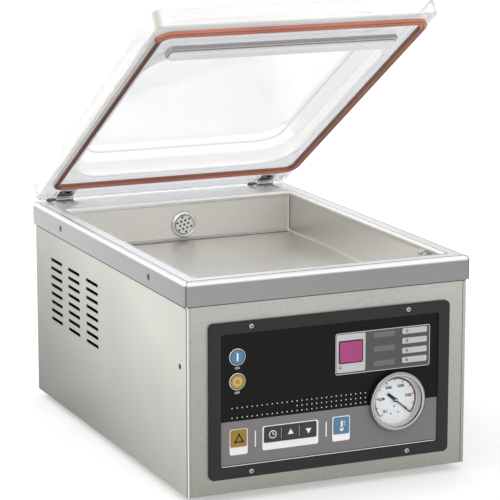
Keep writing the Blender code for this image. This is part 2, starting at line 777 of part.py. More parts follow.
# Lid pieces are drawn closed, about the hinge axis; their pivot then turns them open.
UNDER = LID_GAP / 2
LID_TOP = UNDER + LID_T
LID_Y0 = -RIM_D / 2 + LID_FRONT_INSET - AXIS_Y
LID_Y = (LID_Y0 + LID_REAR) / 2
BAR_Y = SEAL_Y - AXIS_Y


def lid_shell(pivot):
    """Clear lid: a slab whose middle is drawn up into a dome over a sloping recess."""
    slab = ring(LID_W, LID_REAR - LID_Y0, LID_CORNER, UNDER, y=LID_Y)
    front = BAR_Y + RECESS_FRONT
    rear = CHAMBER_Y1 - RECESS_REAR_INSET - AXIS_Y
    mouth = ring(RECESS_W, rear - front, RECESS_CORNER, UNDER, y=(front + rear) / 2)
    soft = RECESS_DEPTH / 6
    ceiling = UNDER + RECESS_DEPTH
    sections = [
        inset_ring(mouth, RECESS_SLOPE + soft, ceiling),
        inset_ring(mouth, RECESS_SLOPE, ceiling - soft / 2),
        inset_ring(mouth, RECESS_SLOPE - soft / 2, ceiling - 1.5 * soft),
        inset_ring(mouth, soft, UNDER + 1.5 * soft),
        inset_ring(mouth, soft / 3, UNDER + soft / 3),
        inset_ring(mouth, 0, UNDER),
    ]
    edge = arc_insets(LID_EDGE)
    sections += [inset_ring(slab, inset, UNDER + LID_EDGE - rise) for inset, rise in reversed(edge)]
    sections += [inset_ring(slab, inset, LID_TOP - LID_EDGE + rise) for inset, rise in edge]
    sections += [
        inset_ring(mouth, -DOME_WALL, LID_TOP),
        inset_ring(mouth, -DOME_WALL / 4, LID_TOP + DOME_H / 8),
        inset_ring(mouth, RECESS_SLOPE / 3, LID_TOP + DOME_H - 1.5 * soft),
        inset_ring(mouth, RECESS_SLOPE / 2, LID_TOP + DOME_H - soft / 2),
        inset_ring(mouth, RECESS_SLOPE / 2 + soft, LID_TOP + DOME_H),
    ]
    return loft("lid_shell", sections, ACRYLIC, parent=pivot, steps=6)


def lid_gasket(pivot):
    """A two-lipped silicone seal that lies on the rim's ledge when the lid is shut."""
    front = -RIM_D / 2 + GASKET_FRONT_INSET - AXIS_Y
    rear = -GASKET_REAR_INSET
    middle = ring(GASKET_W, rear - front, GASKET_CORNER, 0, y=(front + rear) / 2)
    half = GASKET_BAND / 2
    high = UNDER - SEAT
    low = UNDER - LID_GAP + GASKET_FREE_GAP
    lip = GASKET_BAND / 6
    profile = [
        (-half, high),
        (-half, low + lip),
        (-half + lip, low),
        (0, low + GASKET_GROOVE),
        (half - lip, low),
        (half, low + lip),
        (half, high),
    ]
    sections = [inset_ring(middle, inset, height) for inset, height in profile]
    return loft("lid_gasket", sections, SILICONE, parent=pivot, steps=5, closed=True)


def pressure_bar(pivot):
    """The counter bar that the seal bar presses the bag against, with its silicone strip."""
    high = UNDER - SEAT
    low = high - BAR_H
    bar = ring(BAR_LENGTH, BAR_W, BAR_W / 4, high, y=BAR_Y)
    edge = BAR_H / 4
    sections = [inset_ring(bar, edge, low), inset_ring(bar, 0, low + edge), bar]
    loft("pressure_bar", sections, CAST, parent=pivot)
    strip = ring(BAR_LENGTH - BAR_W / 4, STRIP_W, STRIP_W / 4, low - SEAT, y=BAR_Y)
    bottom = low - SEAT - STRIP_H
    round_over = arc_insets(STRIP_H / 2)
    sections = [strip]
    sections += [inset_ring(strip, inset, bottom + STRIP_H / 2 - rise) for inset, rise in round_over]
    loft("pressure_strip", sections, WHITE, parent=pivot)


def hinge_leaf(name, x, side, parent):
    """One leaf with its knuckles. side is -1 for a leaf on the rim and +1 for one on the lid."""
    middle = side * (KNUCKLE_R - LEAF_T / 2)
    clear = KNUCKLE_R + 2 * SEAT
    tongue_end = PIN_R + 2 * RUN_CLEAR
    length = LEAF_LENGTH - clear
    reach = 2 * clear - tongue_end
    bore = PIN_R + RUN_CLEAR
    outer = (HINGE_W - MIDDLE_KNUCKLE) / 2 - SEAT
    shift = (HINGE_W - outer) / 2
    knuckles = [(x, MIDDLE_KNUCKLE)] if side > 0 else [(x - shift, outer), (x + shift, outer)]
    leaf = box(name, (HINGE_W, length, LEAF_T), BRIGHT, (x, -clear - length / 2, middle), parent=parent)
    for at_x, width in knuckles:
        tongue_at = (at_x, -tongue_end - reach / 2, middle)
        tongue = box(name + "_tongue", (width, reach, LEAF_T), None, tongue_at, parent=parent)
        ends = (-width / 2, width / 2)
        barrel = sleeve(name + "_barrel", KNUCKLE_R, bore, *ends, None, (at_x, 0, 0), RIGHTWARD, parent, 12)
        join(leaf, tongue, barrel)
    return leaf


SPRING_SPAN = SPRING_TURNS * SPRING_PITCH
COIL_R = PIN_R + RUN_CLEAR + SPRING_WIRE_R + RUN_CLEAR


def hinge_pin(name, x, parent):
    low = x - HINGE_W / 2 - SPRING_SPAN - 4 * SPRING_PITCH
    return rod(name, PIN_R, low, x + HINGE_W / 2 + SPRING_PITCH, BRIGHT, turn=RIGHTWARD, parent=parent)


def spring_route(x):
    """A torsion spring on the pin: a leg on the rim, the coil, then a leg along the open lid."""
    start = -math.pi / 2
    sweep = 2 * math.pi * SPRING_TURNS + math.pi - math.radians(LID_OPEN_DEG)
    left = x - HINGE_W / 2 - 2 * SPRING_PITCH - SPRING_SPAN - SPRING_PITCH / 2
    points_a_turn = 10
    steps = round(points_a_turn * sweep / (2 * math.pi))
    route = [Vector((left, -SPRING_LEG * (4 - leg) / 4, -COIL_R)) for leg in range(4)]
    for step in range(steps + 1):
        angle = start + sweep * step / steps
        along = left + SPRING_PITCH * sweep * step / steps / (2 * math.pi)
        route.append(Vector((along, COIL_R * math.cos(angle), COIL_R * math.sin(angle))))
    ahead = Vector((0, -math.sin(angle), math.cos(angle)))
    route += [route[-1] + ahead * SPRING_LEG * leg / 4 for leg in range(1, 5)]
    return route


def least_gap(route, radius, apart):
    """The least clear distance between stretches of a tube that are not neighbours."""
    gaps = [(a - b).length for i, a in enumerate(route) for b in route[i + apart:]]
    return min(gaps) - 2 * radius


def hinge_spring(name, x, parent):
    route = spring_route(x)
    print(f"{name} least gap {least_gap(route, SPRING_WIRE_R, 7) * 1000:.2f} mm")
    return tube(name, route, SPRING_WIRE_R, BRIGHT, resolution=1, parent=parent)


# Control panel
KEYS = {
    "on_key": (ON_KEY_AT, 2 * ROUND_KEY_R, 2 * ROUND_KEY_R, ROUND_KEY_R, BLUE),
    "off_key": (OFF_KEY_AT, 2 * ROUND_KEY_R, 2 * ROUND_KEY_R, ROUND_KEY_R, YELLOW),
    "stop_key": (STOP_KEY_AT, SQUARE_KEY, SQUARE_KEY, SQUARE_KEY / 12, AMBER),
    "set_key": (SET_KEY_AT, BLOCK_KEY_W, BLOCK_KEY_H, BLOCK_KEY_W / 10, DARK_KEY),
    "up_key": (UP_KEY_AT, BLOCK_KEY_W, BLOCK_KEY_H, BLOCK_KEY_W / 10, DARK_KEY),
    "down_key": (DOWN_KEY_AT, BLOCK_KEY_W, BLOCK_KEY_H, BLOCK_KEY_W / 10, DARK_KEY),
    "temp_key": (TEMP_KEY_AT, SQUARE_KEY, SQUARE_KEY, SQUARE_KEY / 12, BLUE),
}
GAUGE_HOLE = rod(
    "gauge_hole",
    GAUGE_CASE_R + SEAT,
    -GAUGE_DEPTH,
    GAUGE_DEPTH,
    None,
    on_panel(GAUGE_AT),
    FRONTWARD,
    steps=GAUGE_TURN,
)


def control_bezel():
    outer = ring(BEZEL_W, BEZEL_H, BEZEL_CORNER, 0)
    hole = ring(OVERLAY_W + 2 * SEAT, OVERLAY_H + 2 * SEAT, OVERLAY_CORNER, 0)
    edge = BEZEL_T / 3
    sections = [
        outer,
        inset_ring(outer, 0, BEZEL_T - edge),
        inset_ring(outer, edge, BEZEL_T),
        inset_ring(hole, -edge, BEZEL_T),
        inset_ring(hole, 0, BEZEL_T - edge),
        hole,
    ]
    at = (PANEL_X, FRONT_Y - SEAT, PANEL_Z)
    return loft("control_bezel", sections, CHARCOAL, at, FRONTWARD, closed=True)


def control_overlay():
    face = ring(OVERLAY_W, OVERLAY_H, OVERLAY_CORNER, -OVERLAY_T)
    overlay = loft("control_overlay", [face, inset_ring(face, 0, 0)], BLACK, on_panel((0, 0)), FRONTWARD)
    for name, (at, width, height, corner, _) in KEYS.items():
        grow = 2 * SEAT
        hole = [ring(width + grow, height + grow, corner + SEAT, z) for z in (-2 * OVERLAY_T, OVERLAY_T)]
        cut(overlay, loft(name + "_hole", hole, None, on_panel(at), FRONTWARD, steps=3))
    return cut(overlay, GAUGE_HOLE)


def control_keys():
    """Each key: a stem that reaches its switch, a lip behind the overlay and the cap in front."""
    for name, (at, width, height, corner, finish) in KEYS.items():
        cap = ring(width, height, corner, 0)
        sections = [
            disc(KEY_STEM_R, -KEY_BACK - KEY_STEM),
            disc(KEY_STEM_R, -KEY_BACK),
            inset_ring(cap, -KEY_LIP, -KEY_BACK),
            inset_ring(cap, -KEY_LIP, -OVERLAY_T - SEAT),
            inset_ring(cap, 0, -OVERLAY_T - SEAT),
            inset_ring(cap, 0, KEY_PROUD - KEY_EDGE),
            inset_ring(cap, KEY_EDGE, KEY_PROUD),
        ]
        loft(name, sections, finish, on_panel(at), FRONTWARD, steps=3)


def control_board():
    """The circuit board with its seven switches and the four standoffs that hold it to the panel."""
    margin = 2 * BOARD_MARGIN
    middle = BOARD_FACE + BOARD_T / 2
    size = (OVERLAY_W - margin, BOARD_T, OVERLAY_H - margin)
    board = box("control_board", size, GREEN, on_panel((0, 0), -middle))
    cut(board, GAUGE_HOLE)
    depth = middle - SWITCH_TOP
    places = [on_panel(key[0], -SWITCH_TOP - depth / 2) for key in KEYS.values()]
    switches = [block_piece((SWITCH_W, depth, SWITCH_W), at) for at in places]
    panel_back = OVERLAY_T + SEAT + SHEET
    posts = [disc(BOARD_MARGIN / 2, -middle), disc(BOARD_MARGIN / 2, -panel_back - SEAT)]
    across = OVERLAY_W / 2 - margin
    up = OVERLAY_H / 2 - margin
    corners = [(x, z) for x in (-across, across) for z in (-up, up)]
    standoffs = [loft_piece(posts, on_panel(corner), FRONTWARD, steps=3) for corner in corners]
    return join(board, group("board_fittings", switches + standoffs, None))


def display():
    plate = ring(DISPLAY_W, DISPLAY_H, DISPLAY_H / 16, SEAT)
    top = SEAT + DISPLAY_T
    edge = DISPLAY_T / 3
    sections = [plate, inset_ring(plate, 0, top - edge), inset_ring(plate, edge, top)]
    loft("display_plate", sections, GREY, on_panel(DISPLAY_AT), FRONTWARD)
    glass = ring(WINDOW_W, WINDOW_H, WINDOW_H / 20, top + SEAT)
    sections = [glass, inset_ring(glass, edge, top + SEAT + DISPLAY_T)]
    loft("display_window", sections, MAGENTA, on_panel(WINDOW_AT), FRONTWARD)


# Gauge heights, out from the overlay's face
FLANGE_TOP = SEAT + GAUGE_FLANGE_T
DIAL_LOW = -GAUGE_DIAL_SINK
LENS_LOW = GAUGE_RIM_H + SEAT
LIP_LOW = LENS_LOW + GAUGE_LENS_T + SEAT
CASE_IN = GAUGE_CASE_R - GAUGE_WALL
NEEDLE_LOW = DIAL_LOW + GAUGE_DIAL_T + NEEDLE_T


def gauge():
    at = on_panel(GAUGE_AT)
    post_top = DIAL_LOW - 5 * SEAT
    ledge = CASE_IN - GAUGE_WALL
    floor = -GAUGE_DEPTH + GAUGE_WALL
    back = -GAUGE_DEPTH - GAUGE_STEM
    case = [
        (0, post_top),
        (NEEDLE_HUB_R, post_top),
        (NEEDLE_HUB_R, floor),
        (ledge, floor),
        (ledge, DIAL_LOW - SEAT),
        (CASE_IN, DIAL_LOW - SEAT),
        (CASE_IN, GAUGE_RIM_H),
        (GAUGE_CASE_R, GAUGE_RIM_H),
        (GAUGE_CASE_R, FLANGE_TOP),
        (GAUGE_FLANGE_R, FLANGE_TOP),
        (GAUGE_FLANGE_R, SEAT),
        (GAUGE_CASE_R, SEAT),
        (GAUGE_CASE_R, -GAUGE_DEPTH),
        (GAUGE_STEM_R, -GAUGE_DEPTH),
        (GAUGE_STEM_R, back),
        (0, back),
    ]
    turned("gauge_case", case, DARK_KEY, at, FRONTWARD, steps=GAUGE_TURN)
    dial_top = DIAL_LOW + GAUGE_DIAL_T
    bore = GAUGE_SPINDLE_R + SEAT
    sleeve("gauge_dial", CASE_IN - SEAT, bore, DIAL_LOW, dial_top, WHITE, at, FRONTWARD, steps=GAUGE_TURN)
    lens_top = LENS_LOW + GAUGE_LENS_T
    rod("gauge_lens", GAUGE_CASE_R, LENS_LOW, lens_top, ACRYLIC, at, FRONTWARD, steps=GAUGE_TURN)
    seat_r = GAUGE_CASE_R + SEAT
    lip_r = CASE_IN - GAUGE_WALL
    low = FLANGE_TOP + SEAT
    bezel = [
        (lip_r, LIP_LOW),
        (lip_r, GAUGE_BEZEL_TOP - GAUGE_WALL / 2),
        (lip_r + GAUGE_WALL / 2, GAUGE_BEZEL_TOP),
        (seat_r + GAUGE_WALL / 2, GAUGE_BEZEL_TOP),
        (GAUGE_R, GAUGE_BEZEL_TOP - 2 * GAUGE_WALL),
        (GAUGE_R, low),
        (seat_r, low),
        (seat_r, LIP_LOW),
    ]
    turned("gauge_bezel", bezel, BRIGHT, at, FRONTWARD, steps=GAUGE_TURN, ring_shape=True)
    spindle = empty("gauge_spindle", at, (math.pi / 2, -math.radians(GAUGE_REST_DEG), 0))
    top = NEEDLE_LOW + 2 * NEEDLE_T
    hub = [
        (0, top),
        (NEEDLE_HUB_R * 0.8, top),
        (NEEDLE_HUB_R, top - NEEDLE_T / 2),
        (NEEDLE_HUB_R, NEEDLE_LOW),
        (GAUGE_SPINDLE_R, NEEDLE_LOW),
        (GAUGE_SPINDLE_R, post_top + SEAT),
        (0, post_top + SEAT),
    ]
    needle = turned("gauge_needle", hub, DARK_KEY, parent=spindle, steps=16)
    length = NEEDLE_LENGTH + NEEDLE_TAIL
    blade_at = ((NEEDLE_LENGTH - NEEDLE_TAIL) / 2, 0, NEEDLE_LOW + NEEDLE_T * 0.8)
    blade = box("needle_blade", (length, NEEDLE_W, NEEDLE_T), None, blade_at, parent=spindle)
    for vert in blade.data.vertices:
        if vert.co.x > 0:
            vert.co.y *= 0.3
    join(needle, blade)


def valve(name, place_at, finish):
    x, y = place_at
    width, depth, height = VALVE_BODY
    low = Z_TRAY + SEAT
    body = box(name, VALVE_BODY, finish, (x, y, low + height / 2), bevel=width / 16)
    coil_low = low + height - width / 8
    coil = [
        (0, coil_low + VALVE_COIL_H),
        (VALVE_COIL_R * 0.8, coil_low + VALVE_COIL_H),
        (VALVE_COIL_R, coil_low + VALVE_COIL_H * 0.9),
        (VALVE_COIL_R, coil_low + width / 4),
        (VALVE_COIL_R * 0.6, coil_low + width / 4),
        (VALVE_COIL_R * 0.6, coil_low),
        (0, coil_low),
    ]
    return join(body, turned(name + "_coil", coil, None, (x, y, 0), steps=16))


AIR_VALVE_AT = (VALVE_AT[0] - VALVE_SPACING, VALVE_AT[1])


def bladder_tube():
    x, y = AIR_VALVE_AT
    start = Vector((x, y - VALVE_BODY[1] / 2 - SEAT, Z_TRAY + SEAT + VALVE_BODY[2] / 2))
    end = Vector((x, SEAL_Y, Z_UNDER - SEAT))
    return hose("bladder_tube", TUBE_R, start, Vector((0, -1, 0)), end, Vector((0, 0, 1)))


def transformer():
    x, y = TRANSFORMER_AT
    width, depth, height = CORE_SIZE
    low = Z_TRAY + SEAT
    middle = low + height / 2
    core = box("transformer_core", CORE_SIZE, IRON, (x, y, middle))
    window_h = height - 2 * YOKE_H
    shift = (LIMB_W + WINDOW_GAP) / 2
    windows = [block_piece((WINDOW_GAP, 2 * depth, window_h), (x + s * shift, y, middle)) for s in (-1, 1)]
    cut(core, group("core_windows", windows, None))
    hole = ring(LIMB_W + 2 * SEAT, depth + 2 * SEAT, COIL_CORNER, 0, x, y)
    outer = inset_ring(hole, -COIL_OVERHANG, 0)
    half = window_h / 2 - SEAT
    sections = [inset_ring(outer, 0, middle - half), inset_ring(outer, 0, middle + half)]
    sections += [inset_ring(hole, 0, middle + half), inset_ring(hole, 0, middle - half)]
    loft("transformer_coil", sections, COPPER, closed=True)


def pump():
    """A vane pump and its motor on one plate, with the cooling fan under a slotted cowl."""
    x, y = PUMP_X, PUMP_Y
    plate_y = (y + PUMP_SIZE[1] / 2 + MOTOR_FRONT_Y) / 2
    box("pump_plate", PLATE_SIZE, STEEL, (x, plate_y, Z_PLATE - PLATE_SIZE[2] / 2))
    width, depth, height = PUMP_SIZE
    low = Z_PLATE + SEAT
    body = box("pump_body", PUMP_SIZE, CAST, (x, y, low + height / 2), bevel=width / 16)
    face_y = y + depth / 2
    nipple = rod("pump_inlet", HOSE_R, -depth / 8, NIPPLE_LENGTH, None, PUMP_INLET, BACKWARD, steps=16)
    outlet_at = (PUMP_OUTLET_X, face_y, PUMP_INLET[2])
    outlet = rod("pump_outlet", HOSE_R, -depth / 8, NIPPLE_LENGTH, None, outlet_at, BACKWARD, steps=16)
    filler = rod("pump_filler", HOSE_R, -depth / 8, NIPPLE_LENGTH, None, (x, y, low + height), steps=16)
    join(body, nipple, outlet, filler)
    start = Vector(outlet_at) + Vector((0, NIPPLE_LENGTH + SEAT, 0))
    end = Vector(on_back(EXHAUST_AT)) - Vector((0, SHEET + EXHAUST_NUT + SEAT, 0))
    back = Vector((0, 1, 0))
    hose("exhaust_hose", HOSE_R, start, back, end, back)
    motor(x)


def motor(x):
    at = (x, MOTOR_BACK_Y, Z_AXLE)
    bore = SHAFT_R + 2 * RUN_CLEAR
    end = MOTOR_LENGTH
    bell = MOTOR_LENGTH / 6
    profile = [(bore, end), (MOTOR_R - MOTOR_FIN, end)]
    pitch = (end - 2 * bell) / MOTOR_FINS
    for fin in range(MOTOR_FINS):
        top = end - bell - fin * pitch
        profile += [(MOTOR_R - MOTOR_FIN, top), (MOTOR_R, top - pitch / 6)]
        profile += [(MOTOR_R, top - pitch / 2), (MOTOR_R - MOTOR_FIN, top - 2 * pitch / 3)]
    profile += [(MOTOR_R - MOTOR_FIN, MOTOR_FIN), (MOTOR_R - 2 * MOTOR_FIN, 0), (bore, 0)]
    housing = turned("motor_housing", profile, ENAMEL, at, FRONTWARD, ring_shape=True)
    foot_top = Z_AXLE - MOTOR_R * 0.8
    foot_low = Z_PLATE + SEAT
    foot_size = (1.2 * MOTOR_R, MOTOR_LENGTH / 2, foot_top - foot_low)
    foot_at = (x, MOTOR_BACK_Y - MOTOR_LENGTH / 2, (foot_top + foot_low) / 2)
    join(housing, box("motor_foot", foot_size, None, foot_at))
    front = (x, MOTOR_FRONT_Y - SEAT, Z_AXLE)
    radius = MOTOR_R - MOTOR_FIN
    inner = radius - COWL_WALL
    inner_top = COWL_LENGTH - COWL_WALL
    cup = [(0, COWL_LENGTH), (radius - 2 * COWL_WALL, COWL_LENGTH), (radius, COWL_LENGTH - 2 * COWL_WALL)]
    cup += [(radius, 0), (inner, 0), (inner, inner_top), (0, inner_top)]
    cowl = turned("fan_cowl", cup, ENAMEL, front, FRONTWARD)
    slots = []
    for step in range(COWL_SLOTS):
        turn = (0, 0, 2 * math.pi * step / COWL_SLOTS)
        mouth = ring(inner * 0.55, inner * 0.10, inner * 0.05, 0, x=inner * 0.58)
        slot = [mouth, inset_ring(mouth, 0, 2 * COWL_LENGTH)]
        slots.append(loft_piece(slot, (0, 0, COWL_LENGTH / 2), turn, steps=2))
    grille = group("cowl_slots", slots, None)
    grille.location = front
    grille.rotation_euler = FRONTWARD
    cut(cowl, grille)
    axis = empty("rotor_axis", front, FRONTWARD)
    fan_low = COWL_LENGTH * 0.15
    fan_high = COWL_LENGTH * 0.8
    rod("motor_shaft", SHAFT_R, SEAT - MOTOR_LENGTH * 0.96, fan_high, BRIGHT, parent=axis)
    hub_r = SHAFT_R * 1.7
    fan = sleeve("motor_fan", hub_r, SHAFT_R + SEAT, fan_low, fan_high - SEAT, DARK_KEY, parent=axis)
    blades = []
    for step in range(FAN_BLADES):
        angle = 2 * math.pi * step / FAN_BLADES
        size = (FAN_R - hub_r * 0.9, COWL_WALL, (fan_high - fan_low) * 0.8)
        out = (FAN_R + hub_r * 0.9) / 2
        at = (out * math.cos(angle), out * math.sin(angle), (fan_low + fan_high) / 2)
        blades.append(turned_block(size, at, (math.radians(BLADE_DEG), 0, angle)))
    join(fan, group("fan_blades", blades, None, parent=axis))


def turned_block(size, at, turn):
    def fill(bm):
        before = set(bm.verts)
        bmesh.ops.create_cube(bm, size=1)
        bmesh.ops.scale(bm, vec=size, verts=[vert for vert in bm.verts if vert not in before])
        settle(bm, before, at, turn)

    return fill


def back_fittings():
    """Power inlet and exhaust port on the back panel."""
    body = ring(INLET_BODY_W, INLET_BODY_H, INLET_CORNER, 0)
    flange = ring(INLET_W, INLET_H, INLET_H / 4, 0)
    face = SEAT + 2 * SHEET
    wall = SHEET
    sections = [
        inset_ring(body, 0, -INLET_DEPTH),
        inset_ring(body, 0, SEAT),
        inset_ring(flange, 0, SEAT),
        inset_ring(flange, 0, face - wall / 2),
        inset_ring(flange, wall / 2, face),
        inset_ring(body, wall, face),
        inset_ring(body, wall, wall - INLET_DEPTH),
    ]
    inlet = loft("power_inlet", sections, DARK_KEY, on_back(INLET_AT), BACKWARD)
    pin_z = -INLET_DEPTH / 2
    pitch = INLET_BODY_W / 4
    pin_size = (SHEET, 2 * SHEET, INLET_DEPTH - wall)
    pin_places = [(-pitch, pitch / 4, pin_z), (0, -pitch / 4, pin_z), (pitch, pitch / 4, pin_z)]
    blades = group("inlet_pins", [block_piece(pin_size, at) for at in pin_places], None)
    blades.location = on_back(INLET_AT)
    blades.rotation_euler = BACKWARD
    join(inlet, blades)
    low = -SHEET - EXHAUST_NUT
    port = [
        (EXHAUST_BORE_R, EXHAUST_R),
        (EXHAUST_NECK_R, EXHAUST_R),
        (EXHAUST_NECK_R, EXHAUST_R / 2),
        (EXHAUST_R, EXHAUST_R / 2),
        (EXHAUST_R, SEAT),
        (EXHAUST_NECK_R, SEAT),
        (EXHAUST_NECK_R, low),
        (EXHAUST_BORE_R, low),
    ]
    turned("exhaust_port", port, BRASS, on_back(EXHAUST_AT), BACKWARD, ring_shape=True)


def build():
    base_tray()
    rubber_feet()
    side_panel("left_side_panel", -1)
    side_panel("right_side_panel", 1)
    front_panel()
    back_panel()
    top_frame()
    vacuum_chamber()
    suction_grille()
    suction_elbow()
    vacuum_hose()
    seal_bar_parts()
    lift_bladder()
    hinge_axis = empty("hinge_axis", (0, AXIS_Y, AXIS_Z))
    lid_pivot = empty("lid_pivot", (0, AXIS_Y, AXIS_Z), (-math.radians(LID_OPEN_DEG), 0, 0))
    lid_shell(lid_pivot)
    lid_gasket(lid_pivot)
    pressure_bar(lid_pivot)
    for side, x in (("left", -HINGE_X), ("right", HINGE_X)):
        hinge_leaf(side + "_base_leaf", x, -1, hinge_axis)
        hinge_leaf(side + "_lid_leaf", x, 1, lid_pivot)
        hinge_pin(side + "_hinge_pin", x, hinge_axis)
        hinge_spring(side + "_hinge_spring", x, hinge_axis)
    control_bezel()
    control_overlay()
    control_keys()
    control_board()
    display()
    gauge()
    valve("vacuum_valve", VALVE_AT, BRASS)
    valve("air_valve", AIR_VALVE_AT, BRASS)
    bladder_tube()
    transformer()
    pump()
    back_fittings()


build()
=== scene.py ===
"""Looks of a table-top chamber vacuum packing machine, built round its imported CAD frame."""

import math

import bmesh
import bpy
from mathutils import Matrix, Vector


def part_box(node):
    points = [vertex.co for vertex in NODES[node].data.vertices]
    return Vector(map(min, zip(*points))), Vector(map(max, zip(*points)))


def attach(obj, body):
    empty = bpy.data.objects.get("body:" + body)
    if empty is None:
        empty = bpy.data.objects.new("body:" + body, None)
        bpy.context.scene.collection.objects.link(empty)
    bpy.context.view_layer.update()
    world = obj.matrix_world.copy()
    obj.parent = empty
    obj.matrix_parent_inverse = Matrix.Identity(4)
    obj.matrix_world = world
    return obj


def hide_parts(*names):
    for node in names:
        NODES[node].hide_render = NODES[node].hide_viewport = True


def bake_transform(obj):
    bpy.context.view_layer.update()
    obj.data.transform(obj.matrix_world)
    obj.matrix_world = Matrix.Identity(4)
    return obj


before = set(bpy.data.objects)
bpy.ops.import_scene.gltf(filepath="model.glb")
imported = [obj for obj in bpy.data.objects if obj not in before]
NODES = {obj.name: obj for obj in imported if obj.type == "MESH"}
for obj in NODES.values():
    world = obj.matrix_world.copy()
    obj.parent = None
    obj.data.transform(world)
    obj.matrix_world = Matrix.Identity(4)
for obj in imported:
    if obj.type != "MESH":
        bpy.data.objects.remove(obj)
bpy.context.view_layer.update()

# Camera at the photograph's place
CAMERA_AT = (-1.0704, -2.4553, 0.7843)
CAMERA_YAW = 23.81
CAMERA_PITCH = 12.06
CAMERA_LENS = 174.38
SENSOR = 36.0

# Cabinet
RIM_LOW, RIM_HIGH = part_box("top_frame")
RIM_W = RIM_HIGH.x - RIM_LOW.x
RIM_D = RIM_HIGH.y - RIM_LOW.y
Z_SKIRT = RIM_LOW.z
Z_RIM = RIM_HIGH.z
RIM_CORNER = 0.006
RIM_FILLET = 0.005
RIM_SHEET = 0.002
MOUTH_W = 0.288
MOUTH_Y0 = -0.216
MOUTH_Y1 = 0.177
MOUTH_CORNER = 0.003
MOUTH_ROLL = 0.003
MOUTH_DROP = 0.0055
MOUTH_SEAM = 0.0005
CREASE_ACROSS = 0.0005
CREASE_ALONG = 0.0013
CREASE_T = 0.00004
SHOULDER_LINE = 0.0009
BODY_SIDE = -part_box("left_side_panel")[0].x
FRONT_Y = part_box("front_panel")[0].y
BACK_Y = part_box("back_panel")[1].y
Z_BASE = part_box("front_panel")[0].z
SEAT = 0.0003
MERGE = 0.000001
NEAR_HALF = 0.4999

# Angles, in degrees, above which an edge is drawn sharp
SHARP = 35.0
GAUGE_SHARP = 40.0
LID_SHARP = 50.0
ROUND_SHARP = 60.0

# Thin lines, painted shadows and folds of the cabinet's sheets
SHADOW_T = 0.00005
LINE_CORNER = 0.0002
JOINT_SHADOW_H = 0.0018
JOINT_SHADOW_SHORT = 0.002
SIDE_JOINT_SHADOW_H = 0.0032
SIDE_JOINT_SHADOW_SHORT = 0.008
FOLD_H = Z_SKIRT - Z_BASE - 0.002
FOLD_CORNER = 0.0003
FOLD_W = 0.0034
FOLD_IN = 0.0018
FOLD_T = 0.00006
FOLD_HIGHLIGHT_W = 0.0013
FOLD_HIGHLIGHT_IN = 0.0008
FOLD_SHADOW_W = 0.0018
FOLD_SHADOW_IN = 0.0020
SEAM_R = 0.0005
WELD_R = 0.0004
FOOT_WELD_R = 0.0003
FOOT_WELD_RISE = 0.0002
WELD_SIDES = 8

# Screws: (radius, height) of each kind's head, the head's shape as shares of them, and their places
RIM_SCREW = (0.0031, 0.0001)
SIDE_SCREW = (0.0027, 0.0007)
BACK_SCREW = (0.0028, 0.0012)
LEAF_SCREW = (0.0022, 0.0006)
BEZEL_SCREW = (0.0028, 0.0011)
SCREW_STEPS = 24
SCREW_DOME = ((0, 1), (0.45, 0.96), (0.8, 0.72), (0.97, 0.3), (1, 0), (0, 0))
SCREW_BAR = (1.1, 0.26, 0.05)
SCREW_CROWN = 0.97
SCREW_RING = (1.18, 0.96)
RIM_SCREW_Y = 0.1385
RIM_SCREW_DROP = 0.0142
SIDE_SCREW_Y = -0.2163
SIDE_SCREW_UP = 0.1364
BACK_SCREW_X = 0.105
BACK_SCREW_UPS = (0.014, 0.185)
BEZEL_SCREW_X = 0.091
BEZEL_SCREW_UPS = (0.0220, 0.1777)

# Chamber
TUB_FLOOR_Z = 0.1895
TUB_ROUND = 0.003
GRILLE_HOLE_R = 0.0013
GRILLE_HOLE_PITCH = 0.0053
GRILLE_TURN = math.radians(15.6)
GRILLE_FACE = 0.00144
GRILLE_DISH_R = 0.0120
GRILLE_FILM = 0.00004
GRILLE_LINE = 0.0004
GRILLE_SHADE_W = 0.0010
GRILLE_SHADE_FROM = math.radians(80)
GRILLE_SHADE_TO = math.radians(280)
SEAL_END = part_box("seal_bar")[1].x
CLIP_R = 0.0036
CLIP_T = 0.0009
CLIP_W = 0.008
CLIP_H = 0.016
CLIP_GAP = 0.0028
CLIP_RISE = 0.0104
CLIP_LUG_LOW = 0.0050
CLIP_LUG_TOP = 0.0036

# Lid, drawn shut about its hinge axis and then turned open
AXIS = Vector((0, 0.224, 0.2415))
LID_OPEN = math.radians(32.25)
LID_UNDER = 0.003
LID_T = 0.021
LID_W = 0.327
LID_Y0 = -0.462
LID_REAR = 0.010
LID_CORNER = 0.010
LID_EDGE = 0.003
RECESS_W = 0.286
RECESS_Y0 = -0.387
RECESS_Y1 = -0.055
RECESS_CORNER = 0.045
RECESS_DEPTH = 0.024
RECESS_SLOPE = 0.018
DOME_H = 0.016
DOME_WALL = 0.005
GASKET_W = 0.308
GASKET_Y0 = -0.447
GASKET_Y1 = -0.038
GASKET_CORNER = 0.014
GASKET_BAND = 0.008
GASKET_LOW = -0.0025
GASKET_GROOVE = 0.0016
BAR_Y = -0.404
BAR_L = 0.268
BAR_W = 0.020
BAR_H = 0.005
STRIP_W = 0.014
STRIP_H = 0.0047

# Bends at the top and the foot of the recess's slope: (inward, vertical) in sixths of its depth
RECESS_TOP = ((1.6, 0.0), (1.0, 0.05), (0.4, 0.25), (0.0, 0.55), (-0.5, 1.5))
RECESS_FOOT = ((1.0, 1.5), (0.55, 0.7), (0.2, 0.2), (-0.3, 0.0))

